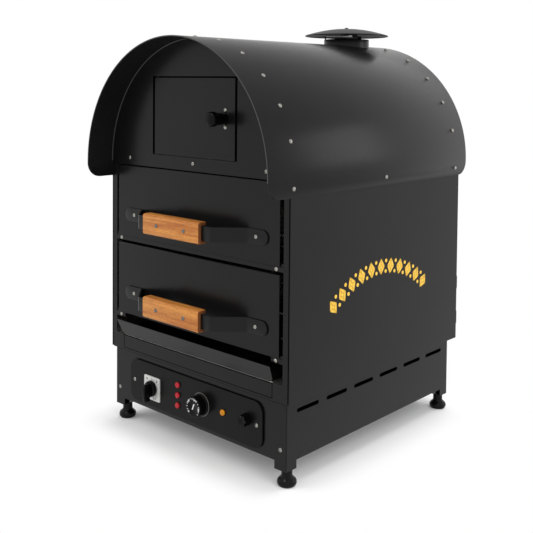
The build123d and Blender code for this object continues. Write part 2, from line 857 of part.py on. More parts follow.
# Low front panel under the crumb tray, flush in its opening and lapped behind the posts.
with BuildPart() as lower_front_panel:
    panel_low_z = deck_z + low_panel_rise + 1.0
    panel_high_z = sill_z - low_panel_top_gap
    with BuildSketch(front_plane(front_y)):
        window(low_opening_x - low_panel_gap, panel_low_z, panel_high_z, Mode.ADD)
    extrude(amount=-sheet)
    with BuildSketch(front_plane(back_y)):
        window(low_opening_x + low_panel_lap, panel_low_z + sheet, panel_high_z - sheet, Mode.ADD)
    extrude(amount=-sheet)
lower_front_panel.part.label = "lower_front_panel"
export_step(lower_front_panel.part, "parts/lower_front_panel.step")

# Rear panel: arched sheet with the service opening, a flange under the hood and a folded foot.
door_x0 = -frame_x + rear_free_gap
door_x1 = frame_x - rear_hinge_gap
service_x0 = door_x0 + rear_lap
service_x1 = door_x1 - rear_lap
service_z0 = deck_z + rear_rise + rear_lap_low
service_z1 = deck_z + rear_rise + rear_height - rear_lap
with BuildPart() as rear_panel:
    with BuildSketch(front_plane(rear_y)):
        with BuildLine():
            rise = frame_top_z - arch_z
            reach = sqrt(gable_radius**2 - rise**2)
            Polyline(
                (-reach, frame_top_z), (-frame_x, frame_top_z), (-frame_x, deck_z),
                (frame_x, deck_z), (frame_x, frame_top_z), (reach, frame_top_z),
            )
            ThreePointArc((reach, frame_top_z), (0, arch_z + gable_radius), (-reach, frame_top_z))
        make_face()
        with Locations(((service_x0 + service_x1) / 2, (service_z0 + service_z1) / 2)):
            RectangleRounded(service_x1 - service_x0, service_z1 - service_z0, 6, mode=Mode.SUBTRACT)
    extrude(amount=sheet)
    with BuildSketch(front_plane(rear_y - sheet)):
        with Locations((0, arch_z)):
            Circle(gable_radius)
            Circle(gable_radius - sheet, mode=Mode.SUBTRACT)
        window(gable_radius, arch_z - gable_radius, panel_top_z + 1.0)
    extrude(amount=rear_flange)
    block(
        -frame_x + return_depth, frame_x - return_depth,
        rear_y - sheet - return_depth, rear_y - sheet, deck_z, deck_z + sheet,
    )
    neck_holes(hood_stations(gable_radius)[len(bolt_angles):], 2 * sheet)
rear_panel.part.label = "rear_panel"
export_step(rear_panel.part, "parts/rear_panel.step")

# ---------------------------------------------------------------------------- baking chamber
# Oven liner: five-sided box with front flanges behind the posts and one up behind the gable.
shaft_hole = motor_shaft_radius + 3.0
with BuildPart() as oven_liner:
    block(
        -liner_x - sheet, liner_x + sheet, back_y, liner_back_y + sheet,
        sill_z - sheet, liner_top_z + sheet,
    )
    block(
        -liner_x, liner_x, back_y, liner_back_y, sill_z, liner_top_z, mode=Mode.SUBTRACT,
    )
    flange_x = frame_x - sheet - liner_flange_gap
    for sign in (-1, 1):
        mid_x = sign * (liner_x + sheet + flange_x) / 2
        half = (flange_x - liner_x - sheet) / 2
        block(mid_x - half, mid_x + half, back_y, back_y + sheet, sill_z, frame_top_z)
    block(
        -liner_x, liner_x, back_y, back_y + sheet,
        liner_top_z, liner_top_z + sheet + liner_top_flange,
    )
    with BuildSketch(front_plane(liner_back_y, 0, fan_z)):
        Circle(shaft_hole)
        with PolarLocations(element_radius, 2, -90 - tail_angle, 2 * tail_angle, endpoint=True):
            Circle(element_tube + fit_gap)
    extrude(amount=-sheet, mode=Mode.SUBTRACT)
    with BuildSketch(front_plane(back_y)):
        with Locations((0, gable_z + gable_screw_rise)):
            with GridLocations(gable_screw_x, 0, 3, 1):
                Circle(screw_radius + fit_gap)
    extrude(amount=-sheet, mode=Mode.SUBTRACT)
oven_liner.part.label = "oven_liner"
export_step(oven_liner.part, "parts/oven_liner.step")

# Insulation: one slab outside each liner wall and one on its top.
slab_front_y = back_y + return_depth + 3.0
with BuildPart() as insulation:
    for sign in (-1, 1):
        mid_x = sign * (liner_x + sheet + slab_thick / 2)
        half = slab_thick / 2
        block(
            mid_x - half, mid_x + half, slab_front_y, liner_back_y,
            sill_z + 3.0, liner_top_z,
        )
    block(
        -side_x + warm_floor_inset + sheet, side_x - warm_floor_inset - sheet,
        slab_front_y, liner_back_y,
        liner_top_z + sheet, warm_floor_z - sheet,
    )
insulation.part.label = "insulation"
export_step(insulation.part, "parts/insulation.step")

# Drawer runners: channels on the liner walls that hold each frame under a keeper, with a front
# tab bolted behind the rail or lug.
frame_low = runner_rise + face_gap
frame_high = frame_low + drawer_frame_height
with BuildPart() as drawer_runners:
    for front_z in (lower_z, upper_z):
        shelf_z = front_z + runner_rise
        keeper_z = front_z + frame_high + face_gap
        for sign in (-1, 1):
            with BuildSketch(front_plane(back_y)):
                with BuildLine():
                    Polyline(
                        (sign * (liner_x - runner_shelf), shelf_z - sheet),
                        (sign * liner_x, shelf_z - sheet),
                        (sign * liner_x, keeper_z + sheet),
                        (sign * (liner_x - runner_keeper), keeper_z + sheet),
                        (sign * (liner_x - runner_keeper), keeper_z),
                        (sign * (liner_x - sheet), keeper_z),
                        (sign * (liner_x - sheet), shelf_z),
                        (sign * (liner_x - runner_shelf), shelf_z),
                        close=True,
                    )
                make_face()
            extrude(amount=-runner_depth + sheet)
            tab_mid = sign * (liner_x - runner_shelf / 2)
            tab_low_z = front_z - rail_gap - rail_height
            block(
                tab_mid - runner_shelf / 2, tab_mid + runner_shelf / 2,
                back_y, back_y + sheet, tab_low_z, shelf_z,
            )
            neck_holes(
                [front_plane(back_y, sign * bolt_x, front_z - rail_gap - rail_height / 2)],
                2 * sheet,
            )
drawer_runners.part.label = "drawer_runners"
export_step(drawer_runners.part, "parts/drawer_runners.step")

# Coach bolts with nuts through rail or lug and runner tab.
runner_bolt = coach_bolt(2 * sheet + nut_height, nut=True)
with BuildPart() as runner_bolts:
    with Locations(
        *[
            front_plane(front_y, sign * bolt_x, top - rail_height / 2)
            for sign in (-1, 1)
            for top in rail_tops
        ]
    ):
        add(runner_bolt)
runner_bolts.part.label = "runner_bolts"
export_step(runner_bolts.part, "parts/runner_bolts.step")

# Crumb tray: shallow pan on the liner floor with a sloping lip turned out at the front.
with BuildPart() as crumb_tray:
    pan_x = opening_x - tray_inset
    pan_z = sill_z + face_gap
    pan_back_y = front_y + tray_depth
    block(-pan_x, pan_x, front_y - frame_sheet, pan_back_y, pan_z, pan_z + tray_wall)
    block(
        -pan_x + frame_sheet, pan_x - frame_sheet,
        front_y, pan_back_y - frame_sheet,
        pan_z + frame_sheet, pan_z + tray_wall, mode=Mode.SUBTRACT,
    )
    lip_root_z = pan_z + tray_lip_start
    block(
        -pan_x, pan_x, front_y - frame_sheet, front_y,
        lip_root_z + frame_sheet, pan_z + tray_wall, mode=Mode.SUBTRACT,
    )
    lip_slope = sqrt(tray_lip_height**2 + tray_lip_reach**2)
    lip_plane = Plane(
        (0, front_y - frame_sheet, lip_root_z),
        x_dir=(1, 0, 0),
        z_dir=(0, -tray_lip_height, -tray_lip_reach),
    )
    with BuildSketch(lip_plane):
        with BuildLine():
            lip_half = tray_lip_width / 2
            Polyline(
                (-lip_half + tray_lip_taper + tray_lip_corner, 0),
                (lip_half - tray_lip_taper - tray_lip_corner, 0),
                (lip_half - tray_lip_taper, tray_lip_corner),
                (lip_half, lip_slope),
                (-lip_half, lip_slope),
                (-lip_half + tray_lip_taper, tray_lip_corner),
                close=True,
            )
        make_face()
    extrude(amount=-frame_sheet)
crumb_tray.part.label = "crumb_tray"
export_step(crumb_tray.part, "parts/crumb_tray.step")

# ---------------------------------------------------------------------------- drawers
drawer_frame_x = drawer_x - drawer_frame_inset
tab_screw = dome_screw(
    bolt_head_radius, bolt_head_height, strap_thick + sheet + nut_height, nut=True
)
grip_screw = dome_screw(
    screw_head_radius, screw_head_height, grip_front + strap_thick + nut_height, nut=True
)
for level, front_z in (("upper", upper_z), ("lower", lower_z)):
    handle_z = front_z + handle_rise

    # Front: flat sheet standing against the frame's face, its top edge folded back.
    with BuildPart() as drawer_front:
        with BuildSketch(front_plane(front_y - sheet)):
            with Locations((0, front_z + drawer_front_height / 2)):
                Rectangle(2 * drawer_x, drawer_front_height)
            with Locations((-strap_screw_x, handle_z), (strap_screw_x, handle_z)):
                Circle(screw_radius + fit_gap, mode=Mode.SUBTRACT)
        extrude(amount=-sheet)
        block(
            -drawer_x, drawer_x, front_y, front_y + front_return,
            front_z + drawer_front_height - sheet, front_z + drawer_front_height,
        )
        fold_edges = drawer_front.edges().filter_by(Axis.X).group_by(Axis.Z)[-1].sort_by(Axis.Y)
        fillet(fold_edges[0], sheet - 0.1)
    drawer_front.part.label = f"{level}_drawer_front"
    export_step(drawer_front.part, f"parts/{level}_drawer_front.step")

    # Frame: four walls with a flange turned in at the bottom for the rack.
    with BuildPart() as drawer_frame:
        mid_y = front_y + drawer_frame_depth / 2
        with BuildSketch(Plane.XY.offset(front_z + frame_low)):
            with Locations((0, mid_y)):
                Rectangle(2 * drawer_frame_x, drawer_frame_depth)
                Rectangle(
                    2 * (drawer_frame_x - frame_sheet),
                    drawer_frame_depth - 2 * frame_sheet, mode=Mode.SUBTRACT,
                )
        extrude(amount=drawer_frame_height)
        with BuildSketch(Plane.XY.offset(front_z + frame_low)):
            with Locations((0, mid_y)):
                Rectangle(2 * drawer_frame_x, drawer_frame_depth)
                Rectangle(
                    2 * (drawer_frame_x - drawer_flange),
                    drawer_frame_depth - 2 * drawer_flange, mode=Mode.SUBTRACT,
                )
        extrude(amount=frame_sheet)
    drawer_frame.part.label = f"{level}_drawer_frame"
    export_step(drawer_frame.part, f"parts/{level}_drawer_frame.step")

    # Rack: a flat bar border with round rods let into its top, lying on the flange.
    with BuildPart() as drawer_rack:
        rack_x = drawer_frame_x - frame_sheet - rack_gap
        rack_depth = drawer_frame_depth - 2 * (frame_sheet + rack_gap)
        rack_z = front_z + frame_low + frame_sheet
        with BuildSketch(Plane.XY.offset(rack_z)):
            with Locations((0, mid_y)):
                Rectangle(2 * rack_x, rack_depth)
                Rectangle(
                    2 * (rack_x - rack_bar), rack_depth - 2 * rack_bar, mode=Mode.SUBTRACT
                )
                Rectangle(2 * (rack_x - rack_bar), rack_bar)
        extrude(amount=rack_bar)
        rod_pitch = 2 * rack_x / (rack_rods + 1)
        with BuildSketch(front_plane(mid_y - rack_depth / 2 + rack_bar / 2)):
            with Locations((0, rack_z + rack_bar)):
                with GridLocations(rod_pitch, 0, rack_rods, 1):
                    RegularPolygon(rack_rod_radius, rod_sides)
        extrude(amount=-(rack_depth - rack_bar))
    drawer_rack.part.label = f"{level}_drawer_rack"
    export_step(drawer_rack.part, f"parts/{level}_drawer_rack.step")

    # Strap: flat bar bent out from two rounded tabs.
    with BuildPart() as handle_strap:
        strap_back_y = front_y - strap_reach + strap_thick
        face_y = front_y - sheet
        with BuildSketch(Plane.XY.offset(handle_z - strap_width / 2)):
            with BuildLine():
                FilletPolyline(
                    (-strap_half, face_y),
                    (-strap_bend_out, face_y),
                    (-strap_bend_in, strap_back_y),
                    (strap_bend_in, strap_back_y),
                    (strap_bend_out, face_y),
                    (strap_half, face_y),
                    radius=strap_bend_radius,
                )
                offset(amount=strap_thick, side=Side.RIGHT)
            make_face()
        extrude(amount=strap_width)
        tab_edges = handle_strap.edges().filter_by(Axis.Y).group_by(Axis.X)
        fillet(tab_edges[0] + tab_edges[-1], strap_width / 2 - 0.2)
        for hole_y, hole_x in ((face_y, strap_screw_x), (strap_back_y, grip_screw_x)):
            with BuildSketch(front_plane(hole_y, 0, handle_z)):
                with GridLocations(2 * hole_x, 0, 2, 1):
                    Circle(screw_radius + fit_gap)
            extrude(amount=strap_thick, mode=Mode.SUBTRACT)
    handle_strap.part.label = f"{level}_handle_strap"
    export_step(handle_strap.part, f"parts/{level}_handle_strap.step")

    # Grip: rounded hardwood bar, grooved along its back for the strap.
    with BuildPart() as handle_grip:
        grip_face_y = front_y - strap_reach - grip_front
        with BuildSketch(Plane.YZ.offset(-grip_half)):
            with Locations((grip_face_y + grip_depth / 2, handle_z)):
                Rectangle(grip_depth, grip_height)
            with Locations((grip_face_y + grip_front + grip_depth / 2, handle_z)):
                Rectangle(grip_depth, strap_width + 2 * face_gap, mode=Mode.SUBTRACT)
        extrude(amount=2 * grip_half)
        long_edges = handle_grip.edges().filter_by(Axis.X)
        fillet(long_edges.group_by(Axis.Y)[0], grip_round)
        fillet(long_edges.group_by(Axis.Y)[-1].group_by(Axis.Z)[0], 2.0)
        fillet(long_edges.group_by(Axis.Y)[-1].group_by(Axis.Z)[-1], 2.0)
        with BuildSketch(front_plane(grip_face_y, 0, handle_z)):
            with GridLocations(2 * grip_screw_x, 0, 2, 1):
                Circle(screw_radius + fit_gap)
        extrude(amount=-grip_front, mode=Mode.SUBTRACT)
    handle_grip.part.label = f"{level}_handle_grip"
    export_step(handle_grip.part, f"parts/{level}_handle_grip.step")

    # Screws: two hold the tabs to the front, two the grip to the strap, all with nuts.
    with BuildPart() as handle_screws:
        with Locations(
            front_plane(front_y - sheet - strap_thick, -strap_screw_x, handle_z),
            front_plane(front_y - sheet - strap_thick, strap_screw_x, handle_z),
        ):
            add(tab_screw)
        with Locations(
            front_plane(grip_face_y, -grip_screw_x, handle_z),
            front_plane(grip_face_y, grip_screw_x, handle_z),
        ):
            add(grip_screw)
    handle_screws.part.label = f"{level}_handle_screws"
    export_step(handle_screws.part, f"parts/{level}_handle_screws.step")

# ---------------------------------------------------------------------------- fan and element
# Heating element: a ring round the fan with two tails through the liner's back.
element_y = liner_back_y - element_from_back
with BuildPart() as oven_element:
    with BuildLine(front_plane(element_y, 0, fan_z)) as ring_path:
        CenterArc((0, 0), element_radius, -90 + tail_angle, 360 - 2 * tail_angle)
    with BuildSketch(Plane(origin=ring_path.line @ 0, z_dir=ring_path.line % 0)):
        Circle(element_tube)
    sweep(path=ring_path.line)
    for end in (0, 1):
        tip = ring_path.line @ end
        with BuildSketch(front_plane(element_y - element_tube, tip.X, tip.Z)):
            Circle(element_tube)
        extrude(amount=-(element_from_back + element_tube + element_tail))
oven_element.part.label = "oven_element"
export_step(oven_element.part, "parts/oven_element.step")

# Fan impeller: hub on its shaft, backplate and curved blades.
fan_y = liner_back_y - fan_from_back
with BuildPart() as fan_impeller:
    with BuildSketch(front_plane(fan_y, 0, fan_z)):
        Circle(fan_radius)
    extrude(amount=sheet)
    with BuildSketch(front_plane(fan_y, 0, fan_z)):
        Circle(fan_hub_radius)
    extrude(amount=fan_blade_depth)
    with BuildSketch(front_plane(fan_y, 0, fan_z)):
        with PolarLocations(0, fan_blades):
            with BuildLine():
                blade = ThreePointArc(
                    (fan_hub_radius + 8, 0),
                    ((fan_hub_radius + fan_radius) / 2, 6),
                    (fan_radius - 1, -4),
                )
                offset(blade, amount=sheet, side=Side.LEFT)
            make_face()
    extrude(amount=fan_blade_depth)
    with BuildSketch(front_plane(fan_y, 0, fan_z)):
        Circle(motor_shaft_radius)
    extrude(amount=-(fan_from_back + sheet + motor_standoff + shaft_length))
fan_impeller.part.label = "fan_impeller"
export_step(fan_impeller.part, "parts/fan_impeller.step")

# Fan motor behind the liner, on three standoffs.
motor_y = liner_back_y + sheet + motor_standoff
with BuildPart() as fan_motor:
    with BuildSketch(front_plane(motor_y, 0, fan_z)):
        Circle(motor_radius)
    extrude(amount=-motor_depth)
    chamfer(fan_motor.edges().group_by(Axis.Y)[-1], 4)
    with BuildSketch(front_plane(motor_y, 0, fan_z)):
        with PolarLocations(motor_radius - 2 * motor_arm_radius, 3, start_angle=90):
            Circle(motor_arm_radius)
    extrude(amount=motor_standoff)
    with Locations(front_plane(motor_y, 0, fan_z)):
        Hole(motor_shaft_radius + shaft_gap, shaft_length + 2.0)
fan_motor.part.label = "fan_motor"
export_step(fan_motor.part, "parts/fan_motor.step")

# Fan guard: a baffle in front of the fan, folded back to the liner at both sides, with a ring of
# radial inlet slots.
with BuildPart() as fan_guard:
    guard_z0 = sill_z + guard_low
    guard_z1 = guard_z0 + guard_height
    with BuildSketch(front_plane(guard_y)):
        window(guard_half, guard_z0, guard_z1, Mode.ADD)
    extrude(amount=-sheet)
    for sign in (-1, 1):
        mid_x = sign * (guard_half - sheet / 2)
        block(
            mid_x - sheet / 2, mid_x + sheet / 2, guard_y, liner_back_y, guard_z0, guard_z1,
        )
    with BuildSketch(front_plane(guard_y, 0, fan_z)):
        with PolarLocations(fan_radius * 0.55, guard_slots):
            Rectangle(fan_radius * 0.5, guard_slot_width)
    extrude(amount=-sheet, mode=Mode.SUBTRACT)
fan_guard.part.label = "fan_guard"
export_step(fan_guard.part, "parts/fan_guard.step")

# ---------------------------------------------------------------------------- rear door
# Shallow pan over the service opening, with cooling slots for the motor.
with BuildPart() as rear_door:
    door_z0 = deck_z + rear_rise
    door_z1 = door_z0 + rear_height
    block(door_x0, door_x1, rear_door_y, rear_door_y + rear_pan, door_z0, door_z1)
    block(
        door_x0 + sheet, door_x1 - sheet, rear_door_y, rear_door_y + rear_pan - sheet,
        door_z0 + sheet, door_z1 - sheet, mode=Mode.SUBTRACT,
    )
    with BuildSketch(front_plane(rear_door_y + rear_pan)):
        with Locations((0, fan_z)):
            with GridLocations(rear_vent_pitch, 0, rear_vents, 1):
                SlotOverall(rear_vent_length, rear_vent_width, rotation=90)
    extrude(amount=sheet, mode=Mode.SUBTRACT)
rear_door.part.label = "rear_door"
export_step(rear_door.part, "parts/rear_door.step")

# Two butt hinges at the rear right corner: end knuckles, pin and a leaf along the side panel.
hinge_zs = [deck_z + height for height in hinge_heights]
knuckle = hinge_length / 3
with BuildPart() as rear_hinges:
    for hinge_z in hinge_zs:
        low_z = hinge_z - hinge_length / 2
        for knuckle_z in (low_z, low_z + 2 * knuckle):
            with BuildSketch(Plane((hinge_x, hinge_y, knuckle_z))):
                Circle(hinge_radius)
                with Locations((hinge_radius - sheet / 2, -hinge_leaf_depth / 2)):
                    Rectangle(sheet, hinge_leaf_depth)
            extrude(amount=knuckle)
        with BuildSketch(Plane((hinge_x, hinge_y, low_z))):
            Circle(hinge_pin_radius)
        extrude(amount=hinge_length)
        block(
            hinge_x + hinge_radius - sheet, hinge_x + hinge_radius,
            hinge_y - hinge_leaf_depth, hinge_y - hinge_radius - 1.0,
            low_z, low_z + hinge_length,
        )
rear_hinges.part.label = "rear_hinges"
export_step(rear_hinges.part, "parts/rear_hinges.step")

# Their moving leaves on the door: middle knuckle and a flat leaf.
with BuildPart() as rear_hinge_leaves:
    for hinge_z in hinge_zs:
        low_z = hinge_z - hinge_length / 2
        with BuildSketch(Plane((hinge_x, hinge_y, low_z + knuckle + face_gap))):
            Circle(hinge_radius)
            with Locations((-hinge_leaf / 2, hinge_radius - sheet / 2)):
                Rectangle(hinge_leaf, sheet)
            Circle(hinge_pin_radius + 0.2, mode=Mode.SUBTRACT)
        extrude(amount=knuckle - 2 * face_gap)
        block(
            hinge_x - hinge_leaf, hinge_x - hinge_radius - 1.0,
            hinge_y + hinge_radius - sheet, hinge_y + hinge_radius,
            low_z, low_z + hinge_length,
        )
rear_hinge_leaves.part.label = "rear_hinge_leaves"
export_step(rear_hinge_leaves.part, "parts/rear_hinge_leaves.step")

# Fixed pull knob on the rear door.
with BuildPart() as rear_door_knob:
    knob_y = rear_door_y + rear_pan
    turned(
        door_x0 + rear_knob_inset,
        deck_z + rear_rise + rear_height / 2,
        (
            (0, knob_y),
            (rear_knob_radius * 0.6, knob_y),
            (rear_knob_radius * 0.5, knob_y + rear_knob_reach * 0.4),
            (rear_knob_radius, knob_y + rear_knob_reach * 0.6),
            (rear_knob_radius, knob_y + rear_knob_reach * 0.9),
            (rear_knob_radius * 0.85, knob_y + rear_knob_reach),
            (0, knob_y + rear_knob_reach),
        ),
    )
rear_door_knob.part.label = "rear_door_knob"
export_step(rear_door_knob.part, "parts/rear_door_knob.step")

# ---------------------------------------------------------------------------- hood and gable
# Hood: one rolled sheet, skirts straight below the arch centre, all four corners rounded.
with BuildPart() as hood:
    with BuildSketch(front_plane(hood_front_y)):
        with BuildLine():
            Polyline((-hood_outer, arch_z), (-hood_outer, hood_skirt_z), (-hood_inner, hood_skirt_z),
                     (-hood_inner, arch_z))
            ThreePointArc((-hood_inner, arch_z), (0, arch_z + hood_inner), (hood_inner, arch_z))
            Polyline((hood_inner, arch_z), (hood_inner, hood_skirt_z), (hood_outer, hood_skirt_z),
                     (hood_outer, arch_z))
            ThreePointArc((hood_outer, arch_z), (0, arch_z + hood_outer), (-hood_outer, arch_z))
        make_face()
    extrude(amount=-hood_length)
    fillet(hood.edges().filter_by(Axis.X).group_by(Axis.Z)[0], hood_corner_radius)
    with BuildSketch(Plane((0, flue_y, arch_z))):
        Circle(flue_radius + face_gap)
    extrude(amount=hood_outer + hood_sheet, mode=Mode.SUBTRACT)
    neck_holes([*hood_stations(hood_outer + 1), *skirt_stations(hood_outer + 1)], 2 * hood_sheet)
hood.part.label = "hood"
export_step(hood.part, "parts/hood.step")

# Gable: segment of sheet recessed under the hood, flanged for the bolts, cut for the door.
with BuildPart() as gable_front:
    with BuildSketch(front_plane(front_y)):
        with Locations((0, arch_z)):
            Circle(gable_radius)
        window(gable_radius, arch_z - gable_radius, gable_z)
        window(warm_x + warm_side_gap, warm_z - warm_bottom_gap, warm_top_z + warm_top_gap)
        with Locations((0, gable_z + gable_screw_rise)):
            with GridLocations(gable_screw_x, 0, 3, 1):
                Circle(screw_radius + fit_gap, mode=Mode.SUBTRACT)
    extrude(amount=-sheet)
    with BuildSketch(front_plane(back_y)):
        with Locations((0, arch_z)):
            Circle(gable_radius)
            Circle(gable_radius - sheet, mode=Mode.SUBTRACT)
        window(gable_radius, arch_z - gable_radius, panel_top_z + 1.0)
    extrude(amount=-gable_flange)
    neck_holes(hood_stations(gable_radius)[: len(bolt_angles)], 2 * sheet)
gable_front.part.label = "gable_front"
export_step(gable_front.part, "parts/gable_front.step")

# Coach bolts of the hood, through sheet and flange.
bolt_grip = hood_outer - gable_radius + sheet + 1.5
hood_bolt = coach_bolt(bolt_grip)
with BuildPart() as hood_bolts:
    with Locations(*hood_stations(hood_outer + 0.05), *skirt_stations(hood_outer)):
        add(hood_bolt)
hood_bolts.part.label = "hood_bolts"
export_step(hood_bolts.part, "parts/hood_bolts.step")

# Dome screws of the gable, the base front and the fascia.
sheet_screw = dome_screw(screw_head_radius, screw_head_height, 2 * sheet + 2.0)
fascia_screw = dome_screw(
    screw_head_radius, screw_head_height, fascia_sheet + fascia_spacer + sheet + 2.0
)
with BuildPart() as panel_screws:
    with Locations(
        *[
            front_plane(front_y, index * gable_screw_x, gable_z + gable_screw_rise)
            for index in (-1, 0, 1)
        ],
        *[front_plane(base_front_y, sign * base_screw_x, base_screw_z) for sign in (-1, 1)],
    ):
        add(sheet_screw)
    with Locations(
        *[front_plane(fascia_y, sign * fascia_screw_x, fascia_z) for sign in (-1, 1)]
    ):
        add(fascia_screw)
panel_screws.part.label = "panel_screws"
export_step(panel_screws.part, "parts/panel_screws.step")

# Warmer door: pan with returns all round, holes for the pivots in the top and bottom ones.
door_mid_z = (warm_z + warm_top_z) / 2
knob_x = warm_x - knob_inset
knob_z = warm_z + knob_rise
with BuildPart() as warmer_door:
    block(-warm_x, warm_x, front_y, back_y + warm_return, warm_z, warm_top_z)
    block(
        -warm_x + sheet, warm_x - sheet, back_y, back_y + warm_return,
        warm_z + sheet, warm_top_z - sheet, mode=Mode.SUBTRACT,
    )
    with BuildSketch(Plane((pivot_x, pivot_y, warm_z))):
        Circle(pivot_radius + face_gap)
    extrude(amount=warm_door_height, mode=Mode.SUBTRACT)
    with BuildSketch(front_plane(front_y, knob_x, knob_z)):
        with GridLocations(0, 2 * door_screw_spread, 1, 2):
            Circle(screw_radius + fit_gap)
    extrude(amount=-sheet, mode=Mode.SUBTRACT)
warmer_door.part.label = "warmer_door"
export_step(warmer_door.part, "parts/warmer_door.step")

# Its pivots: a block on the chamber floor below, a bracket on the gable's back above, a pin each.
pin_low_z = warm_z - warm_bottom_gap
pin_high_z = warm_top_z + warm_top_gap
with BuildPart() as warmer_pivots:
    half = pivot_block_width / 2
    block(
        pivot_x - half, pivot_x + half, back_y + sheet, back_y + pivot_block_depth,
        warm_floor_z, pin_low_z,
    )
    block(
        pivot_x - half, pivot_x + half, back_y, back_y + pivot_block_depth,
        pin_high_z + face_gap, pin_high_z + face_gap + sheet,
    )
    block(
        pivot_x - half, pivot_x + half, back_y, back_y + sheet,
        pin_high_z + face_gap, pin_high_z + pivot_tab,
    )
    with BuildSketch(Plane((pivot_x, pivot_y, pin_low_z - sheet))):
        Circle(pivot_radius)
    extrude(amount=pivot_reach)
    with BuildSketch(Plane((pivot_x, pivot_y, pin_high_z + sheet))):
        Circle(pivot_radius)
    extrude(amount=-pivot_reach)
warmer_pivots.part.label = "warmer_pivots"
export_step(warmer_pivots.part, "parts/warmer_pivots.step")

# Magnet catch behind the door's free edge, on the back of the gable.
catch_x = warm_x + warm_side_gap
with BuildPart() as warmer_catch:
    catch_front_y = back_y + warm_return + face_gap
    block(
        catch_x, catch_x + catch_width / 2, back_y, catch_front_y + catch_thick,
        door_mid_z - catch_height / 2, door_mid_z + catch_height / 2,
    )
    block(
        warm_x - catch_width / 2, catch_x, catch_front_y, catch_front_y + catch_thick,
        door_mid_z - catch_height / 2, door_mid_z + catch_height / 2,
    )
warmer_catch.part.label = "warmer_catch"
export_step(warmer_catch.part, "parts/warmer_catch.step")

# Mushroom pull knob on the door.
with BuildPart() as warmer_knob:
    knob_tip_y = front_y - knob_reach
    turned(
        knob_x,
        knob_z,
        (
            (0, front_y),
            (knob_stem_radius, front_y),
            (knob_stem_radius, knob_tip_y + knob_head),
            (knob_radius - 0.8, knob_tip_y + knob_head - 1.5),
            (knob_radius, knob_tip_y + knob_head - 4.0),
            (knob_radius, knob_tip_y + 4.0),
            (0, knob_tip_y + 4.0),
        ),
    )
    with BuildSketch(Plane((knob_x, 0, knob_z), x_dir=(1, 0, 0), z_dir=(0, 0, 1))):
        with BuildLine():
            Line((0, knob_tip_y + 4.0), (knob_radius, knob_tip_y + 4.0))
            ThreePointArc(
                (knob_radius, knob_tip_y + 4.0),
                (knob_radius * 0.75, knob_tip_y + 1.3),
                (0, knob_tip_y),
            )
            Line((0, knob_tip_y), (0, knob_tip_y + 4.0))
        make_face()
    revolve(axis=Axis((knob_x, 0, knob_z), (0, 1, 0)))
warmer_knob.part.label = "warmer_knob"
export_step(warmer_knob.part, "parts/warmer_knob.step")

# Two small screws above and below it.
door_screw = dome_screw(screw_head_radius - 0.8, screw_head_height, sheet + 2.0)
with BuildPart() as warmer_door_screws:
    with Locations(
        front_plane(front_y, knob_x, knob_z - door_screw_spread),
        front_plane(front_y, knob_x, knob_z + door_screw_spread),
    ):
        add(door_screw)
warmer_door_screws.part.label = "warmer_door_screws"
export_step(warmer_door_screws.part, "parts/warmer_door_screws.step")

# Chamber floor: inverted pan whose folded sides stand on the liner.
with BuildPart() as warmer_floor:
    floor_x = side_x - warm_floor_inset
    block(
        -floor_x, floor_x, back_y + sheet, rear_y - sheet,
        liner_top_z + sheet, warm_floor_z,
    )
    block(
        -floor_x + sheet, floor_x - sheet, back_y + sheet, rear_y - sheet,
        liner_top_z + sheet, warm_floor_z - sheet, mode=Mode.SUBTRACT,
    )
warmer_floor.part.label = "warmer_floor"
export_step(warmer_floor.part, "parts/warmer_floor.step")

# Rack on the chamber floor: a bar border and round rods across it.
with BuildPart() as warmer_rack:
    shelf_x = floor_x - warm_rack_inset
    shelf_y = (front_y + rear_y) / 2
    with BuildSketch(Plane.XY.offset(warm_floor_z)):
        with Locations((0, shelf_y)):
            Rectangle(2 * shelf_x, warm_rack_length)
            Rectangle(
                2 * (shelf_x - warm_rack_bar), warm_rack_length - 2 * warm_rack_bar,
                mode=Mode.SUBTRACT,
            )
    extrude(amount=warm_rack_bar)
    with BuildSketch(Plane.YZ.offset(-shelf_x + warm_rack_bar / 2)):
        with Locations((shelf_y, warm_floor_z + warm_rack_bar)):
            with GridLocations(warm_rack_length / (warm_rack_rods + 1), 0, warm_rack_rods, 1):
                RegularPolygon(rack_rod_radius, rod_sides)
    extrude(amount=2 * shelf_x - warm_rack_bar)
warmer_rack.part.label = "warmer_rack"
export_step(warmer_rack.part, "parts/warmer_rack.step")

# ---------------------------------------------------------------------------- flue and cap
# Collar: short tube through the crown of the hood.
with BuildPart() as flue_collar:
    with BuildSketch(Plane((0, flue_y, crown_z - flue_depth))):
        Circle(flue_radius)
        Circle(flue_radius - sheet, mode=Mode.SUBTRACT)
    extrude(amount=flue_depth + flue_rise)
flue_collar.part.label = "flue_collar"
export_step(flue_collar.part, "parts/flue_collar.step")

# Cap: thin shallow dome with a turned-down lip and a rivet hole at its centre.
cap_top_z = cap_z + cap_rise
cap_inner = cap_radius - sheet
with BuildPart() as flue_cap:
    with BuildSketch(Plane((0, flue_y, 0), x_dir=(1, 0, 0), z_dir=(0, -1, 0))):
        with BuildLine():
            dome_z = cap_z + cap_lip
            Polyline(
                (cap_inner, dome_z - sheet / 2), (cap_inner, cap_z),
                (cap_radius, cap_z), (cap_radius, dome_z),
            )
            TangentArc((0, cap_top_z), (cap_radius, dome_z), tangent=(1, 0))
            Line((0, cap_top_z), (0, cap_top_z - sheet))
            TangentArc((0, cap_top_z - sheet), (cap_inner, dome_z - sheet / 2), tangent=(1, 0))
        make_face()
    revolve(axis=Axis((0, flue_y, 0), (0, 0, 1)))
    with Locations(Plane((0, flue_y, cap_top_z))):
        Hole(screw_radius + fit_gap, 2 * sheet)
flue_cap.part.label = "flue_cap"
export_step(flue_cap.part, "parts/flue_cap.step")

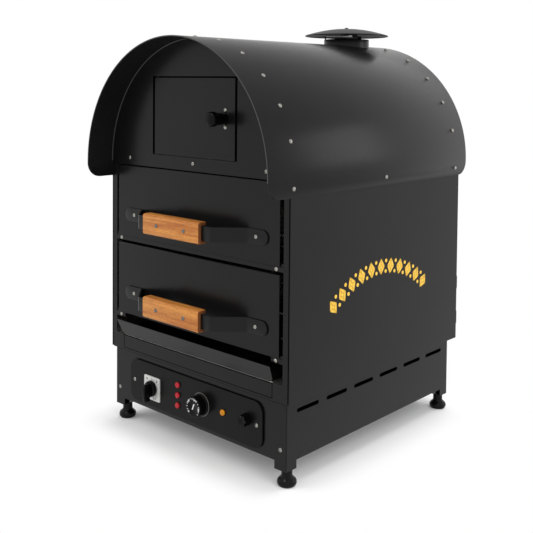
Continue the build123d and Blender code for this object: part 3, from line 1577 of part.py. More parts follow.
# Cap bracket: three flat legs welded to the collar's inside, a three-armed spider lying on them,
# a hub under the cap and the rivet that holds the cap to it.
hub_top_z = cap_top_z - sheet - face_gap
leg_radius = flue_radius - sheet
leg_out = sqrt(leg_radius**2 - (cap_leg_width / 2) ** 2) - fit_gap
arm_z = cap_z + cap_lip
with BuildPart() as bracket_legs:
    with BuildSketch(Plane((0, flue_y, flue_top_z - cap_leg_depth))):
        with PolarLocations(leg_out - sheet / 2, 3, start_angle=90):
            Rectangle(sheet, cap_leg_width)
    extrude(amount=arm_z - sheet - flue_top_z + cap_leg_depth)
with BuildPart() as bracket_spider:
    with BuildSketch(Plane((0, flue_y, arm_z - sheet))):
        with PolarLocations(leg_out / 2, 3, start_angle=90):
            Rectangle(leg_out, cap_leg_width)
        Circle(cap_hub_radius)
        Circle(screw_radius + fit_gap, mode=Mode.SUBTRACT)
    extrude(amount=sheet)
with BuildPart() as bracket_hub:
    with BuildSketch(Plane((0, flue_y, arm_z))):
        Circle(cap_hub_radius)
        Circle(screw_radius + fit_gap, mode=Mode.SUBTRACT)
    extrude(amount=hub_top_z - arm_z)
with BuildPart() as bracket_rivet:
    with Locations(Plane((0, flue_y, cap_top_z))):
        add(dome_screw(cap_rivet_radius, cap_rivet_height, cap_rise - cap_lip))
bracket_pieces = [
    *bracket_legs.part.solids(), *bracket_spider.part.solids(),
    *bracket_hub.part.solids(), *bracket_rivet.part.solids(),
]
cap_bracket = Compound(label="cap_bracket", children=bracket_pieces)
export_step(cap_bracket, "parts/cap_bracket.step")
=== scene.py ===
from math import cos, hypot, pi, radians, sin

import bmesh
import bpy
from mathutils import Matrix, Vector


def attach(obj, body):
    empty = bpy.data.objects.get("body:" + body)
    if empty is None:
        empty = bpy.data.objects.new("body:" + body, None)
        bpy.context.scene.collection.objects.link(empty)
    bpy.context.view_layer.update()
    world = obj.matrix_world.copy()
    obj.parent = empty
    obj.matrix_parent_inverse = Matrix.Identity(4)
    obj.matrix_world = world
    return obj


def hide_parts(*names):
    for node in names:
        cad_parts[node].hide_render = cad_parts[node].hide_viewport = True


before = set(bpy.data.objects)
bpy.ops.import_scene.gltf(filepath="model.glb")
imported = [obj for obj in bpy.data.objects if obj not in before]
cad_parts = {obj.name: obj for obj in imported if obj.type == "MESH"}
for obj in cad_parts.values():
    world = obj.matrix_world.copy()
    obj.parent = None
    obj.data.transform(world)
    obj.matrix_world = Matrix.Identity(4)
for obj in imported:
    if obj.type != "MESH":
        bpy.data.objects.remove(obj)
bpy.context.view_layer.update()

# ---------------------------------------------------------------------------- camera
# The photographer stands to the right of the front at about the hood's height. The film stays
# almost upright and is shifted down, so the oven's upright edges stay parallel.
camera_data = bpy.data.cameras.new("camera")
camera_data.sensor_width = 36.0
camera_data.lens = 57.509
camera_data.shift_y = -0.27775
camera_data.clip_start, camera_data.clip_end = 0.05, 50.0
camera = bpy.data.objects.new("camera", camera_data)
bpy.context.scene.collection.objects.link(camera)
stand = Matrix.Translation((1.20385, -1.36326, 0.71504))
turn = Matrix.Rotation(radians(42.637), 4, "Z")
tilt = Matrix.Rotation(radians(90.0 - 2.398), 4, "X")
roll = Matrix.Rotation(radians(0.505), 4, "Z")
camera.matrix_world = stand @ turn @ tilt @ roll
bpy.context.scene.camera = camera
bpy.context.scene.view_settings.view_transform = "Standard"


# ---------------------------------------------------------------------------- studio
# White sweep of paper on the floor. The camera and all glossy surfaces see the room as white;
# the oven is lit by a softer grey room and three large lamps.
def linear(code):
    """An sRGB hex colour as the linear colour that a socket takes."""
    parts = [int(code[i : i + 2], 16) / 255 for i in (0, 2, 4)]
    return [p / 12.92 if p <= 0.04045 else ((p + 0.055) / 1.055) ** 2.4 for p in parts] + [1.0]


def add_node(tree, kind, values=None, links=None, **settings):
    """Adds a node: values go on its sockets, links come from other nodes' sockets."""
    made = tree.nodes.new(kind)
    for name, value in settings.items():
        setattr(made, name, value)
    for socket, value in (values or {}).items():
        made.inputs[socket].default_value = value
    for socket, source in (links or {}).items():
        tree.links.new(source, made.inputs[socket])
    return made


def seen_directly(tree):
    """1 for rays from the camera, from glossy and from clear surfaces, otherwise 0."""
    path = add_node(tree, "ShaderNodeLightPath")
    either = add_node(
        tree, "ShaderNodeMath",
        links={0: path.outputs["Is Camera Ray"], 1: path.outputs["Is Glossy Ray"]},
        operation="MAXIMUM",
    )
    return add_node(
        tree, "ShaderNodeMath",
        links={0: either.outputs[0], 1: path.outputs["Is Transmission Ray"]},
        operation="MAXIMUM",
    ).outputs[0]


room = bpy.data.worlds.new("studio_room")
room.use_nodes = True
bpy.context.scene.world = room
tree = room.node_tree
tree.nodes.clear()
dim_room = add_node(tree, "ShaderNodeBackground", {"Color": linear("FFFFFF"), "Strength": 0.55})
white_room = add_node(tree, "ShaderNodeBackground", {"Color": linear("FFFFFF"), "Strength": 1.0})
either_room = add_node(
    tree, "ShaderNodeMixShader",
    links={0: seen_directly(tree), 1: dim_room.outputs[0], 2: white_room.outputs[0]},
)
add_node(tree, "ShaderNodeOutputWorld", links={"Surface": either_room.outputs[0]})

paper = bpy.data.materials.new("matt_paper_white")
paper.use_nodes = True
tree = paper.node_tree
tree.nodes.clear()
matt = add_node(tree, "ShaderNodeBsdfDiffuse", {"Color": linear("EDEDED")})
# Seen directly, the paper is white but for the shadow close to the base: how far a point lies
# outside the base's outline, in metres, turns the shaded paper to plain white.
spot = add_node(tree, "ShaderNodeSeparateXYZ",
                links={0: add_node(tree, "ShaderNodeTexCoord").outputs["Object"]})
outside = []
for axis, half in ((0, 0.24), (1, 0.27)):
    span = add_node(tree, "ShaderNodeMath", links={0: spot.outputs[axis]}, operation="ABSOLUTE")
    over = add_node(tree, "ShaderNodeMath", {1: half}, {0: span.outputs[0]}, operation="SUBTRACT")
    outside.append(
        add_node(tree, "ShaderNodeMath", {1: 0.0}, {0: over.outputs[0]}, operation="MAXIMUM")
    )
gap = add_node(tree, "ShaderNodeCombineXYZ", links={0: outside[0].outputs[0],
                                                    1: outside[1].outputs[0]})
away = add_node(tree, "ShaderNodeVectorMath", links={0: gap.outputs[0]}, operation="LENGTH")
fade = add_node(tree, "ShaderNodeMapRange", {1: 0.0, 2: 0.08, 3: 0.0, 4: 1.0},
                {0: away.outputs["Value"]}, interpolation_type="SMOOTHSTEP")
plain = add_node(tree, "ShaderNodeEmission", {"Color": linear("FFFFFF"), "Strength": 1.0})
lift = add_node(tree, "ShaderNodeEmission", {"Color": linear("FFFFFF"), "Strength": 0.12})
lifted = add_node(tree, "ShaderNodeAddShader", links={0: matt.outputs[0], 1: lift.outputs[0]})
swept = add_node(
    tree, "ShaderNodeMixShader",
    links={0: fade.outputs[0], 1: lifted.outputs[0], 2: plain.outputs[0]},
)
paper_look = add_node(
    tree, "ShaderNodeMixShader",
    links={0: seen_directly(tree), 1: matt.outputs[0], 2: swept.outputs[0]},
)
add_node(tree, "ShaderNodeOutputMaterial", links={"Surface": paper_look.outputs[0]})
bpy.ops.object.select_all(action="DESELECT")
bpy.ops.mesh.primitive_plane_add(size=14.0, location=(0, 0, 0))
floor = bpy.context.object
floor.name = "studio_floor"
floor.data.materials.append(paper)

# The three large lamps light without being mirrored; the strips only show as glints, on edges
# from above the front and along the hood from behind the right side.
lamps = (
    ("lamp_front", (-1.7, -2.4, 2.4), (0.0, -0.2, 0.2), 2.2, 44.0),
    ("lamp_right", (2.7, -0.6, 2.2), (0.2, 0.0, 0.2), 1.8, 40.0),
    ("lamp_top", (0.2, 0.9, 3.0), (0.0, 0.0, 0.3), 2.6, 62.0),
    ("strip_front", (0.1, -1.5, 2.6), (0.0, -0.2, 0.4), 0.5, 11.0),
    ("strip_right", (1.75, 1.35, 1.0), (0.25, -0.3, 0.56), 0.9, 5.0),
)
for lamp_name, lamp_place, lamp_target, lamp_size, lamp_power in lamps:
    lamp_data = bpy.data.lights.new(lamp_name, "AREA")
    lamp_data.size = lamp_size
    lamp_data.energy = lamp_power
    lamp = bpy.data.objects.new(lamp_name, lamp_data)
    bpy.context.scene.collection.objects.link(lamp)
    lamp.location = lamp_place
    aim = Vector(lamp_target) - Vector(lamp_place)
    lamp.rotation_euler = aim.to_track_quat("-Z", "Y").to_euler()
    lamp.visible_glossy = lamp_name.startswith("strip")
    lamp.visible_diffuse = not lamp_name.startswith("strip")


# ---------------------------------------------------------------------------- feet
# Four levelling feet: glass filled nylon moulded in black as a rounded bell under a straight
# neck. The stud that goes up through the leg's bottom plate is drawn in the same black.
def new_material(name):
    """A material with its tree, its shader and the object's own coordinates."""
    material = bpy.data.materials.new(name)
    material.use_nodes = True
    tree = material.node_tree
    shader = tree.nodes["Principled BSDF"]
    return material, tree, shader, add_node(tree, "ShaderNodeTexCoord").outputs["Object"]


def moulded_plastic(name, low, high, roughness, grain, depth, index=1.33):
    """Moulded plastic between two close shades, with a grain of that size and depth in metres."""
    material, tree, shader, place = new_material(name)
    cloud = add_node(tree, "ShaderNodeTexNoise", {"Scale": 60.0, "Detail": 2.0}, {"Vector": place})
    tone = add_node(
        tree, "ShaderNodeMix", {6: linear(low), 7: linear(high)}, {0: cloud.outputs["Fac"]},
        data_type="RGBA",
    )
    spark = add_node(
        tree, "ShaderNodeTexNoise", {"Scale": 1 / grain, "Detail": 2.0}, {"Vector": place}
    )
    gloss = add_node(
        tree, "ShaderNodeMapRange", {3: roughness - 0.06, 4: roughness + 0.06},
        {0: spark.outputs["Fac"]},
    )
    bump = add_node(
        tree, "ShaderNodeBump", {"Strength": 0.5, "Distance": depth},
        {"Height": spark.outputs["Fac"]},
    )
    tree.links.new(tone.outputs[2], shader.inputs["Base Color"])
    tree.links.new(gloss.outputs[0], shader.inputs["Roughness"])
    tree.links.new(bump.outputs["Normal"], shader.inputs["Normal"])
    shader.inputs["IOR"].default_value = index
    return material


# Glossy from the mould, a little dulled by handling: sharp small highlights on the bell.
nylon_black = moulded_plastic("glass_filled_nylon_black", "080808", "0D0D0D", 0.24, 0.0008, 3e-5,
                              1.24)


def select_nothing():
    """Leaves edit mode and deselects everything."""
    if bpy.context.object and bpy.context.object.mode != "OBJECT":
        bpy.ops.object.mode_set(mode="OBJECT")
    bpy.ops.object.select_all(action="DESELECT")


def begin(name, add, **shape):
    """Adds a primitive at the origin under a name, selected alone and in edit mode."""
    select_nothing()
    add(**shape)
    piece = bpy.context.object
    piece.name = piece.data.name = name
    bpy.ops.object.mode_set(mode="EDIT")
    return piece


def chain(points):
    """Draws a line of edges through points in mm, from a small plane merged to one corner."""
    bpy.ops.mesh.merge(type="CENTER")
    bpy.ops.mesh.select_all(action="SELECT")
    points = [Vector(point) / 1000 for point in points]
    bpy.ops.transform.translate(value=points[0])
    for start, end in zip(points, points[1:]):
        bpy.ops.mesh.extrude_vertices_move(TRANSFORM_OT_translate={"value": end - start})
    bpy.ops.mesh.select_all(action="SELECT")


def turned(name, outline, steps=48):
    """A form turned about Z from an outline of (radius, height) points in mm."""
    piece = begin(name, bpy.ops.mesh.primitive_plane_add, size=0.001)
    chain([(radius, 0, height) for radius, height in outline])
    bpy.ops.mesh.spin(steps=steps, angle=2 * pi, center=(0, 0, 0), axis=(0, 0, 1))
    bpy.ops.mesh.select_all(action="SELECT")
    bpy.ops.mesh.remove_doubles(threshold=1e-6)
    bpy.ops.mesh.normals_make_consistent(inside=False)
    return piece


def only(piece):
    """Leaves edit mode and selects one piece alone."""
    select_nothing()
    piece.select_set(True)
    bpy.context.view_layer.objects.active = piece


def worked(piece, kind, **settings):
    """Gives a piece a modifier and applies it."""
    only(piece)
    tool = piece.modifiers.new(kind.lower(), kind)
    for setting, value in settings.items():
        setattr(tool, setting, value)
    bpy.ops.object.modifier_apply(modifier=tool.name)


def copied(piece, name):
    """A copy of a modelled piece, with its own mesh."""
    only(piece)
    twin = piece.copy()
    twin.data = piece.data.copy()
    twin.name = twin.data.name = name
    bpy.context.scene.collection.objects.link(twin)
    return twin


def fit(piece, body, slot, material, *nodes, at=None, angle=32.0):
    """Puts a piece in its place, in its finish, on its body, instead of those CAD nodes."""
    only(piece)
    if at is not None:
        piece.matrix_world = at
    bpy.ops.object.transform_apply(location=True, rotation=True, scale=True)
    bpy.ops.object.shade_smooth_by_angle(angle=radians(angle))
    piece.data.materials.clear()
    piece.data.materials.append(material)
    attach(piece, body)
    if nodes:
        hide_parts(*nodes)


def refinish(piece, material, test):
    """Gives those faces of a fitted piece that pass a test a second finish."""
    piece.data.materials.append(material)
    for face in piece.data.polygons:
        if test(face):
            face.material_index = 1


foot_pattern = turned(
    "foot_pattern",
    (
        (0, 0), (13, 0), (15.6, 0.9), (17.2, 3.2), (17.9, 6.4), (17.6, 9.2), (16.2, 11.8),
        (13.8, 14), (11.6, 15.8), (10.3, 18), (9.9, 21), (9.9, 29.5), (9.4, 31.4), (4, 31.8),
        (4, 45), (0, 45),
    ),
)
foot_x, foot_front_y, foot_rear_y = 226.5, -240.0, 266.5
for end, foot_y in (("front", foot_front_y), ("rear", foot_rear_y)):
    for side, foot_side in (("left", -1), ("right", 1)):
        foot = copied(foot_pattern, f"levelling_foot_{end}_{side}")
        fit(
            foot, "oven", "foot_rubber", nylon_black, f"foot_{end}_{side}",
            at=Matrix.Translation((foot_side * foot_x / 1000, foot_y / 1000, 0)),
        )
bpy.data.objects.remove(foot_pattern)


# ---------------------------------------------------------------------------- base shell
# Mild steel sheet 1.5 mm thick, punched and folded, then sprayed with black polyester powder
# and baked: near black, satin, with a fine orange peel that breaks up what it mirrors.
def powder_coat(name, low, high, roughness, peel, index=1.3):
    """Powder coat between two close shades; peel is the height of its texture in metres."""
    material, tree, shader, place = new_material(name)
    # Clouds of a hand's width: the coat is never quite one thickness.
    cloud = add_node(tree, "ShaderNodeTexNoise", {"Scale": 9.0, "Detail": 3.0}, {"Vector": place})
    # Peel about 2 mm across and grains about 0.7 mm across on it, drawn coarser than the real
    # 0.3 mm so that they still show at arm's length.
    wave = add_node(
        tree, "ShaderNodeTexNoise", {"Scale": 1 / 0.002, "Detail": 1.0}, {"Vector": place}
    )
    grain = add_node(
        tree, "ShaderNodeTexNoise", {"Scale": 1 / 0.0007, "Detail": 2.0}, {"Vector": place}
    )
    blend = add_node(
        tree, "ShaderNodeMath", {1: 0.5}, {0: grain.outputs["Fac"], 2: cloud.outputs["Fac"]},
        operation="MULTIPLY_ADD",
    )
    tone = add_node(
        tree, "ShaderNodeMix", {6: linear(low), 7: linear(high)}, {0: blend.outputs[0]},
        data_type="RGBA", clamp_factor=True,
    )
    height = add_node(
        tree, "ShaderNodeMath", {1: 0.5}, {0: grain.outputs["Fac"], 2: wave.outputs["Fac"]},
        operation="MULTIPLY_ADD",
    )
    bump = add_node(
        tree, "ShaderNodeBump", {"Strength": 0.6, "Distance": peel}, {"Height": height.outputs[0]}
    )
    gloss = add_node(
        tree, "ShaderNodeMapRange", {3: roughness - 0.06, 4: roughness + 0.06},
        {0: grain.outputs["Fac"]},
    )
    tree.links.new(tone.outputs[2], shader.inputs["Base Color"])
    tree.links.new(gloss.outputs[0], shader.inputs["Roughness"])
    tree.links.new(bump.outputs["Normal"], shader.inputs["Normal"])
    shader.inputs["IOR"].default_value = index
    return material


powder = powder_coat("powder_coat_black", "0C0B0B", "141313", 0.26, 0.00006, 1.28)


def dress(material, *names):
    """Puts a material on the slots of carried-over nodes."""
    for name in names:
        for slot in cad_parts[name].material_slots:
            slot.material = material


def soften(width, *names):
    """Breaks the sharp edges of carried-over sheet, as deburring and the coat do."""
    for name in names:
        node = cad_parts[name]
        weld = node.modifiers.new("join", "WELD")
        weld.merge_threshold = 0.00001
        flat = node.modifiers.new("flat", "DECIMATE")
        flat.decimate_type = "DISSOLVE"
        flat.angle_limit = radians(0.5)
        edge = node.modifiers.new("edge", "BEVEL")
        edge.width = width
        edge.segments = 2
        edge.limit_method = "ANGLE"
        edge.angle_limit = radians(40)
        edge.harden_normals = True


dress(powder, "base_shell")
soften(0.0003, "base_shell")

# ---------------------------------------------------------------------------- control fascia
# Laser cut plate 2 mm thick on a rebated spacer, powder coated with a finer peel than the body.
# Its colour is painted a little darker than the body's coat: painted shade for where the plate sits
# low, near the floor.
fascia_coat_shaded = powder_coat("powder_coat_fascia_painted_shade", "0A0909", "100F0F", 0.3, 0.00004, 1.21)
dress(fascia_coat_shaded, "control_fascia")
soften(0.0004, "control_fascia")
fascia_z = 99.0
fascia_face = -263.0


def facing_front(x, y, z):
    """A place in mm for a piece modelled upright, turned so that its top faces the front."""
    return Matrix.Translation((x / 1000, y / 1000, z / 1000)) @ Matrix.Rotation(pi / 2, 4, "X")


# ---------------------------------------------------------------------------- screws and bolts
# Cold headed steel, zinc plated and clear passivated, but dull stainless in the grips: a low
# dome with a cross recess on the panel screws, a plain dome on all others. No nuts are drawn.
def plated_steel(name, low, high, roughness, grain):
    """Plated metal between two shades, with faint cloudy staining of the plating."""
    material, tree, shader, place = new_material(name)
    cloud = add_node(
        tree, "ShaderNodeTexNoise", {"Scale": 1 / grain, "Detail": 4.0}, {"Vector": place}
    )
    tone = add_node(
        tree, "ShaderNodeMix", {6: linear(low), 7: linear(high)}, {0: cloud.outputs["Fac"]},
        data_type="RGBA",
    )
    gloss = add_node(
        tree, "ShaderNodeMapRange", {3: roughness - 0.08, 4: roughness + 0.1},
        {0: cloud.outputs["Fac"]},
    )
    tree.links.new(tone.outputs[2], shader.inputs["Base Color"])
    tree.links.new(gloss.outputs[0], shader.inputs["Roughness"])
    shader.inputs["Metallic"].default_value = 1.0
    return material


bright_zinc = plated_steel("zinc_plated_steel_bright", "7E7B76", "B0ADA7", 0.24, 0.002)

screw_pattern = turned(
    "screw_pattern",
    (
        (0, -9), (2.2, -9), (2.2, 0), (4, 0), (4, 0.35), (3.7, 0.95), (3.1, 1.4), (2.2, 1.7),
        (1.1, 1.8), (0, 1.8),
    ),
    steps=32,
)
for quarter in (0.0, pi / 2):
    slot_cutter = begin("slot_cutter", bpy.ops.mesh.primitive_cube_add, size=1.0)
    bpy.ops.transform.resize(value=(0.0036, 0.0008, 0.0016))
    wedge = bmesh.from_edit_mesh(slot_cutter.data)
    for face in wedge.faces:
        face.select_set(face.normal.z > 0.5)
    bmesh.update_edit_mesh(slot_cutter.data)
    bpy.ops.transform.resize(value=(1.25, 1.25, 1.0))
    only(slot_cutter)
    slot_cutter.matrix_world = (
        Matrix.Translation((0, 0, 0.0018)) @ Matrix.Rotation(quarter, 4, "Z")
    )
    bpy.ops.object.transform_apply(location=True, rotation=True, scale=True)
    worked(screw_pattern, "BOOLEAN", operation="DIFFERENCE", object=slot_cutter, solver="EXACT")
    bpy.data.objects.remove(slot_cutter)
bolt_pattern = turned(
    "bolt_pattern",
    (
        (0, -5), (2.6, -5), (2.6, 0), (4.2, 0), (4.2, 0.4), (3.9, 1.2), (3.1, 1.9), (2.0, 2.4),
        (0.9, 2.6), (0, 2.6),
    ),
    steps=32,
)
dome_pattern = turned(
    "dome_pattern",
    (
        (0, -9), (2.2, -9), (2.2, 0), (4, 0), (4, 0.4), (3.6, 1.05), (2.9, 1.5), (1.9, 1.75),
        (0.8, 1.8), (0, 1.8),
    ),
    steps=32,
)


def fastened(pattern, name, body, node, places, metal=bright_zinc):
    """Copies of a fastener at their places, which replace a CAD node."""
    for number, place in enumerate(places, 1):
        fastener = copied(pattern, f"{name}_{number}")
        fit(fastener, body, "bright_screw", metal, node, at=place)


fastened(
    screw_pattern, "panel_screw", "oven", "panel_screws",
    [
        facing_front(side * x, y, z) @ Matrix.Rotation(side * x / 70, 4, "Z")
        for side in (-1, 1)
        for x, y, z in ((227.3, -259.0, 69.0), (173.0, fascia_face, fascia_z), (191.7, -263, 558.9))
    ]
    + [facing_front(0, -263, 558.9)],
)


# ---------------------------------------------------------------------------- isolator
# Rotary isolator: a square plate of brushed and clear anodised aluminium, whose finish the
# switch body behind it shares, and a black phenolic knob whose lever points down when it is off.
def brushed(name, low, high, roughness, across):
    """Brushed metal: streaks along X, that many metres apart, in tone and roughness."""
    material, tree, shader, place = new_material(name)
    stretch = add_node(tree, "ShaderNodeMapping", {"Scale": (30.0, 1 / across, 1 / across)},
                       {"Vector": place})
    streak = add_node(tree, "ShaderNodeTexNoise", {"Scale": 1.0, "Detail": 3.0},
                      {"Vector": stretch.outputs[0]})
    tone = add_node(
        tree, "ShaderNodeMix", {6: linear(low), 7: linear(high)}, {0: streak.outputs["Fac"]},
        data_type="RGBA",
    )
    gloss = add_node(
        tree, "ShaderNodeMapRange", {3: roughness - 0.1, 4: roughness + 0.1},
        {0: streak.outputs["Fac"]},
    )
    tree.links.new(tone.outputs[2], shader.inputs["Base Color"])
    tree.links.new(gloss.outputs[0], shader.inputs["Roughness"])
    return material, shader


plate_look, shader = brushed("anodised_aluminium_plate", "C9C9C6", "DEDEDA", 0.45, 0.0006)
shader.inputs["Metallic"].default_value = 0.35
dress(plate_look, "isolator_switch")
soften(0.0003, "isolator_switch")

ink_black = moulded_plastic("screen_ink_black", "101010", "181818", 0.5, 0.0006, 1e-5)
ink_white = moulded_plastic("screen_ink_white", "E4E4E2", "F0F0EE", 0.5, 0.0006, 1e-5)
isolator_x, isolator_z = -116.5, 94.0
plate_face = fascia_face - 2.5


def printed(name, words, height, body, slot, material, place):
    """A word or number printed 0.06 mm thick, height in mm, as a mesh at its place."""
    mark = begin(name, bpy.ops.object.text_add)
    only(mark)
    mark.data.body = words
    mark.data.align_x, mark.data.align_y = "CENTER", "CENTER"
    mark.data.size = height / 1000 * 1.4
    mark.data.extrude = 0.00003
    mark.data.offset = 0.00018
    mark.data.resolution_u = 3
    bpy.ops.object.convert(target="MESH")
    mark.data.name = name
    fit(mark, body, slot, material, at=place)


for number, (words, mark_x, mark_z, height) in enumerate(
    (("0", -15, 17, 5.0), ("I", 0, 19.5, 4.0), ("II", 15, 17, 5.0), ("0 - I", 8, -19.5, 3.6)), 1
):
    printed(
        f"isolator_mark_{number}", words, height, "oven", "switch_case", ink_black,
        facing_front(isolator_x + mark_x, plate_face - 0.03, isolator_z + mark_z),
    )

# Phenolic: hard, black, dense, polished by the mould and by hands.
phenolic = moulded_plastic("phenolic_black", "060606", "0A0A0A", 0.25, 0.0009, 2e-5, 1.2)
isolator_disc = turned(
    "isolator_disc",
    (
        (0, 0), (16, 0), (16, 5.6), (15.7, 6.9), (14.8, 7.7), (13.4, 8), (9.5, 8), (9, 7.6),
        (0, 7.6),
    ),
    steps=64,
)
# Finger ribs round the disc: every other pair of columns is drawn in.
ribs = bmesh.from_edit_mesh(isolator_disc.data)
for corner in ribs.verts:
    reach = hypot(corner.co.x, corner.co.y)
    if reach > 0.0155:
        turn_here = int(round((Vector((1, 0)).angle_signed(corner.co.xy)) / (2 * pi) * 64))
        if turn_here % 4 in (0, 1):
            corner.co.xy *= 1 - 0.0006 / reach
bmesh.update_edit_mesh(isolator_disc.data)
knob_place = facing_front(isolator_x, plate_face - 0.3, isolator_z)
fit(isolator_disc, "isolator_lever", "knob_black", phenolic, "isolator_knob", at=knob_place)

isolator_lever = begin("isolator_lever_bar", bpy.ops.mesh.primitive_cube_add, size=1.0)
bpy.ops.transform.resize(value=(0.009, 0.0355, 0.0145))
bpy.ops.transform.translate(value=(0, -0.00575, 0.01445))
bpy.ops.mesh.bisect(plane_co=(0, -0.012, 0), plane_no=(0, 1, 0))
bpy.ops.mesh.select_all(action="SELECT")
bpy.ops.mesh.bisect(plane_co=(0, 0.004, 0), plane_no=(0, 1, 0))
lever = bmesh.from_edit_mesh(isolator_lever.data)
for corner in lever.verts:
    if corner.co.z > 0.01:
        corner.co.x *= 0.78
    if corner.co.y < -0.02:
        corner.co.x *= 0.8
        if corner.co.z > 0.01:
            corner.co.z -= 0.0022
    if corner.co.y > 0.01 and corner.co.z > 0.01:
        corner.co.z -= 0.003
bmesh.update_edit_mesh(isolator_lever.data)
worked(isolator_lever, "BEVEL", width=0.0012, segments=4, limit_method="ANGLE",
       angle_limit=radians(40))
fit(isolator_lever, "isolator_lever", "knob_black", phenolic, "isolator_knob", at=knob_place)

# ---------------------------------------------------------------------------- pilot lamps
# Three red neons in a column and an amber one: polycarbonate lenses, ribbed inside and domed,
# each snapped into the fascia with a thin black flange.
def lens(name, low, high):
    """Coloured polycarbonate, its colour painted bright where the dome faces the camera and deep at
    the rim: a painted glow standing in for light off a reflector behind it.
    """
    material, tree, shader, place = new_material(name)
    rib = add_node(
        tree, "ShaderNodeTexNoise", {"Scale": 1 / 0.0012, "Detail": 1.0}, {"Vector": place}
    )
    # Painted glow: the colour brightens where the dome faces the camera and deepens towards its
    # rim.
    edge = add_node(tree, "ShaderNodeLayerWeight", {"Blend": 0.35})
    depth = add_node(
        tree, "ShaderNodeMath", {1: 0.35}, {0: rib.outputs["Fac"], 2: edge.outputs["Facing"]},
        operation="MULTIPLY_ADD",
    )
    tone = add_node(
        tree, "ShaderNodeMix", {6: linear(high), 7: linear(low)}, {0: depth.outputs[0]},
        data_type="RGBA", clamp_factor=True,
    )
    tree.links.new(tone.outputs[2], shader.inputs["Base Color"])
    shader.inputs["Roughness"].default_value = 0.16
    shader.inputs["IOR"].default_value = 1.35
    return material


lamp_red = lens("polycarbonate_lens_red", "7A1019", "D82432")
lamp_amber = lens("polycarbonate_lens_amber", "A05A04", "EC9A0C")
flange_pattern = turned(
    "flange_pattern", ((0, 0), (6.8, 0), (6.8, 0.5), (6.4, 0.9), (5.9, 1.0), (0, 1.0))
)
lens_pattern = turned(
    "lens_pattern",
    (
        (0, 0.9), (5.8, 0.9), (5.8, 2.2), (5.55, 3.1), (4.9, 3.8), (3.9, 4.1), (3.3, 3.7),
        (1.6, 4.1), (0, 4.2),
    ),
)
for number, (lamp_x, lamp_z, lamp_look, lamp_node, lamp_slot) in enumerate(
    (
        (-39.4, 119.8, lamp_red, "red_lamps", "lamp_red"),
        (-39.4, 99.5, lamp_red, "red_lamps", "lamp_red"),
        (-39.4, 79.2, lamp_red, "red_lamps", "lamp_red"),
        (87.0, 99.5, lamp_amber, "amber_lamp", "lamp_amber"),
    ),
    1,
):
    place = facing_front(lamp_x, fascia_face, lamp_z)
    flange = copied(flange_pattern, f"pilot_flange_{number}")
    fit(flange, "oven", "knob_black", nylon_black, lamp_node, at=place)
    glass = copied(lens_pattern, f"pilot_lens_{number}")
    fit(glass, "oven", lamp_slot, lamp_look, lamp_node, at=place)
for pattern in (flange_pattern, lens_pattern):
    bpy.data.objects.remove(pattern)

# ---------------------------------------------------------------------------- thermostat knob
# Moulded dial on the thermostat's shaft: a thin trim ring, a black barrel, and a front face
# with white numbers round its rim and a white pointer.
dial_x, dial_z = 28.0, 99.0
ring_steel = plated_steel("chrome_plated_trim", "55534F", "7B7874", 0.3, 0.004)
ring = turned(
    "dial_ring", ((20, 0), (22.4, 0), (22.7, 0.3), (22.7, 1.1), (22.2, 1.5), (21.7, 1.6), (20, 1.6),
                  (20, 0)), steps=72,
)
dial_place = facing_front(dial_x, fascia_face - 0.3, dial_z)
fit(ring, "thermostat_dial", "silver_plate", ring_steel, "thermostat_knob", at=dial_place)
barrel = turned(
    "dial_barrel",
    (
        (0, 0), (21.5, 0), (21.5, 3.0), (19.4, 4.6), (18.3, 14), (19.2, 16.2), (19.7, 18.6),
        (19.7, 20.6), (19.2, 21.6), (18.2, 22), (13, 22), (12.4, 21.7), (0, 21.7),
    ),
    steps=72,
)
fit(barrel, "thermostat_dial", "knob_black", phenolic, "thermostat_knob", at=dial_place)
dial_span, dial_steps = 260, 14
for number in range(dial_steps + 1):
    # From lower left round over the top to lower right: a number at every fourth mark.
    swing = radians(-dial_span / 2 + dial_span / dial_steps * number)
    if number % 4 == 0:
        words = str(50 + 50 * (number // 4))
        at = Matrix.Translation((0.0153 * sin(swing), 0.0153 * cos(swing), 0.02203))
        printed(
            f"dial_number_{number}", words, 3.3, "thermostat_dial", "knob_black", ink_white,
            dial_place @ at @ Matrix.Rotation(-swing, 4, "Z"),
        )
    else:
        tick = begin(f"dial_mark_{number}", bpy.ops.mesh.primitive_cube_add, size=1.0)
        bpy.ops.transform.resize(value=(0.0011, 0.0028, 0.00008))
        worked(tick, "BEVEL", width=0.0003, segments=3, limit_method="ANGLE",
               angle_limit=radians(40))
        at = Matrix.Translation((0.0163 * sin(swing), 0.0163 * cos(swing), 0.02203))
        fit(tick, "thermostat_dial", "knob_black", ink_white,
            at=dial_place @ at @ Matrix.Rotation(-swing, 4, "Z"))
pointer = begin("dial_pointer", bpy.ops.mesh.primitive_cube_add, size=1.0)
bpy.ops.transform.resize(value=(0.0025, 0.0125, 0.0003))
bpy.ops.transform.translate(value=(0, 0.0012, 0))
worked(pointer, "BEVEL", width=0.0007, segments=4, limit_method="ANGLE",
       angle_limit=radians(40))
fit(
    pointer, "thermostat_dial", "knob_black", ink_white,
    at=dial_place @ Matrix.Translation((0, 0, 0.02175)) @ Matrix.Rotation(radians(-24), 4, "Z"),
)

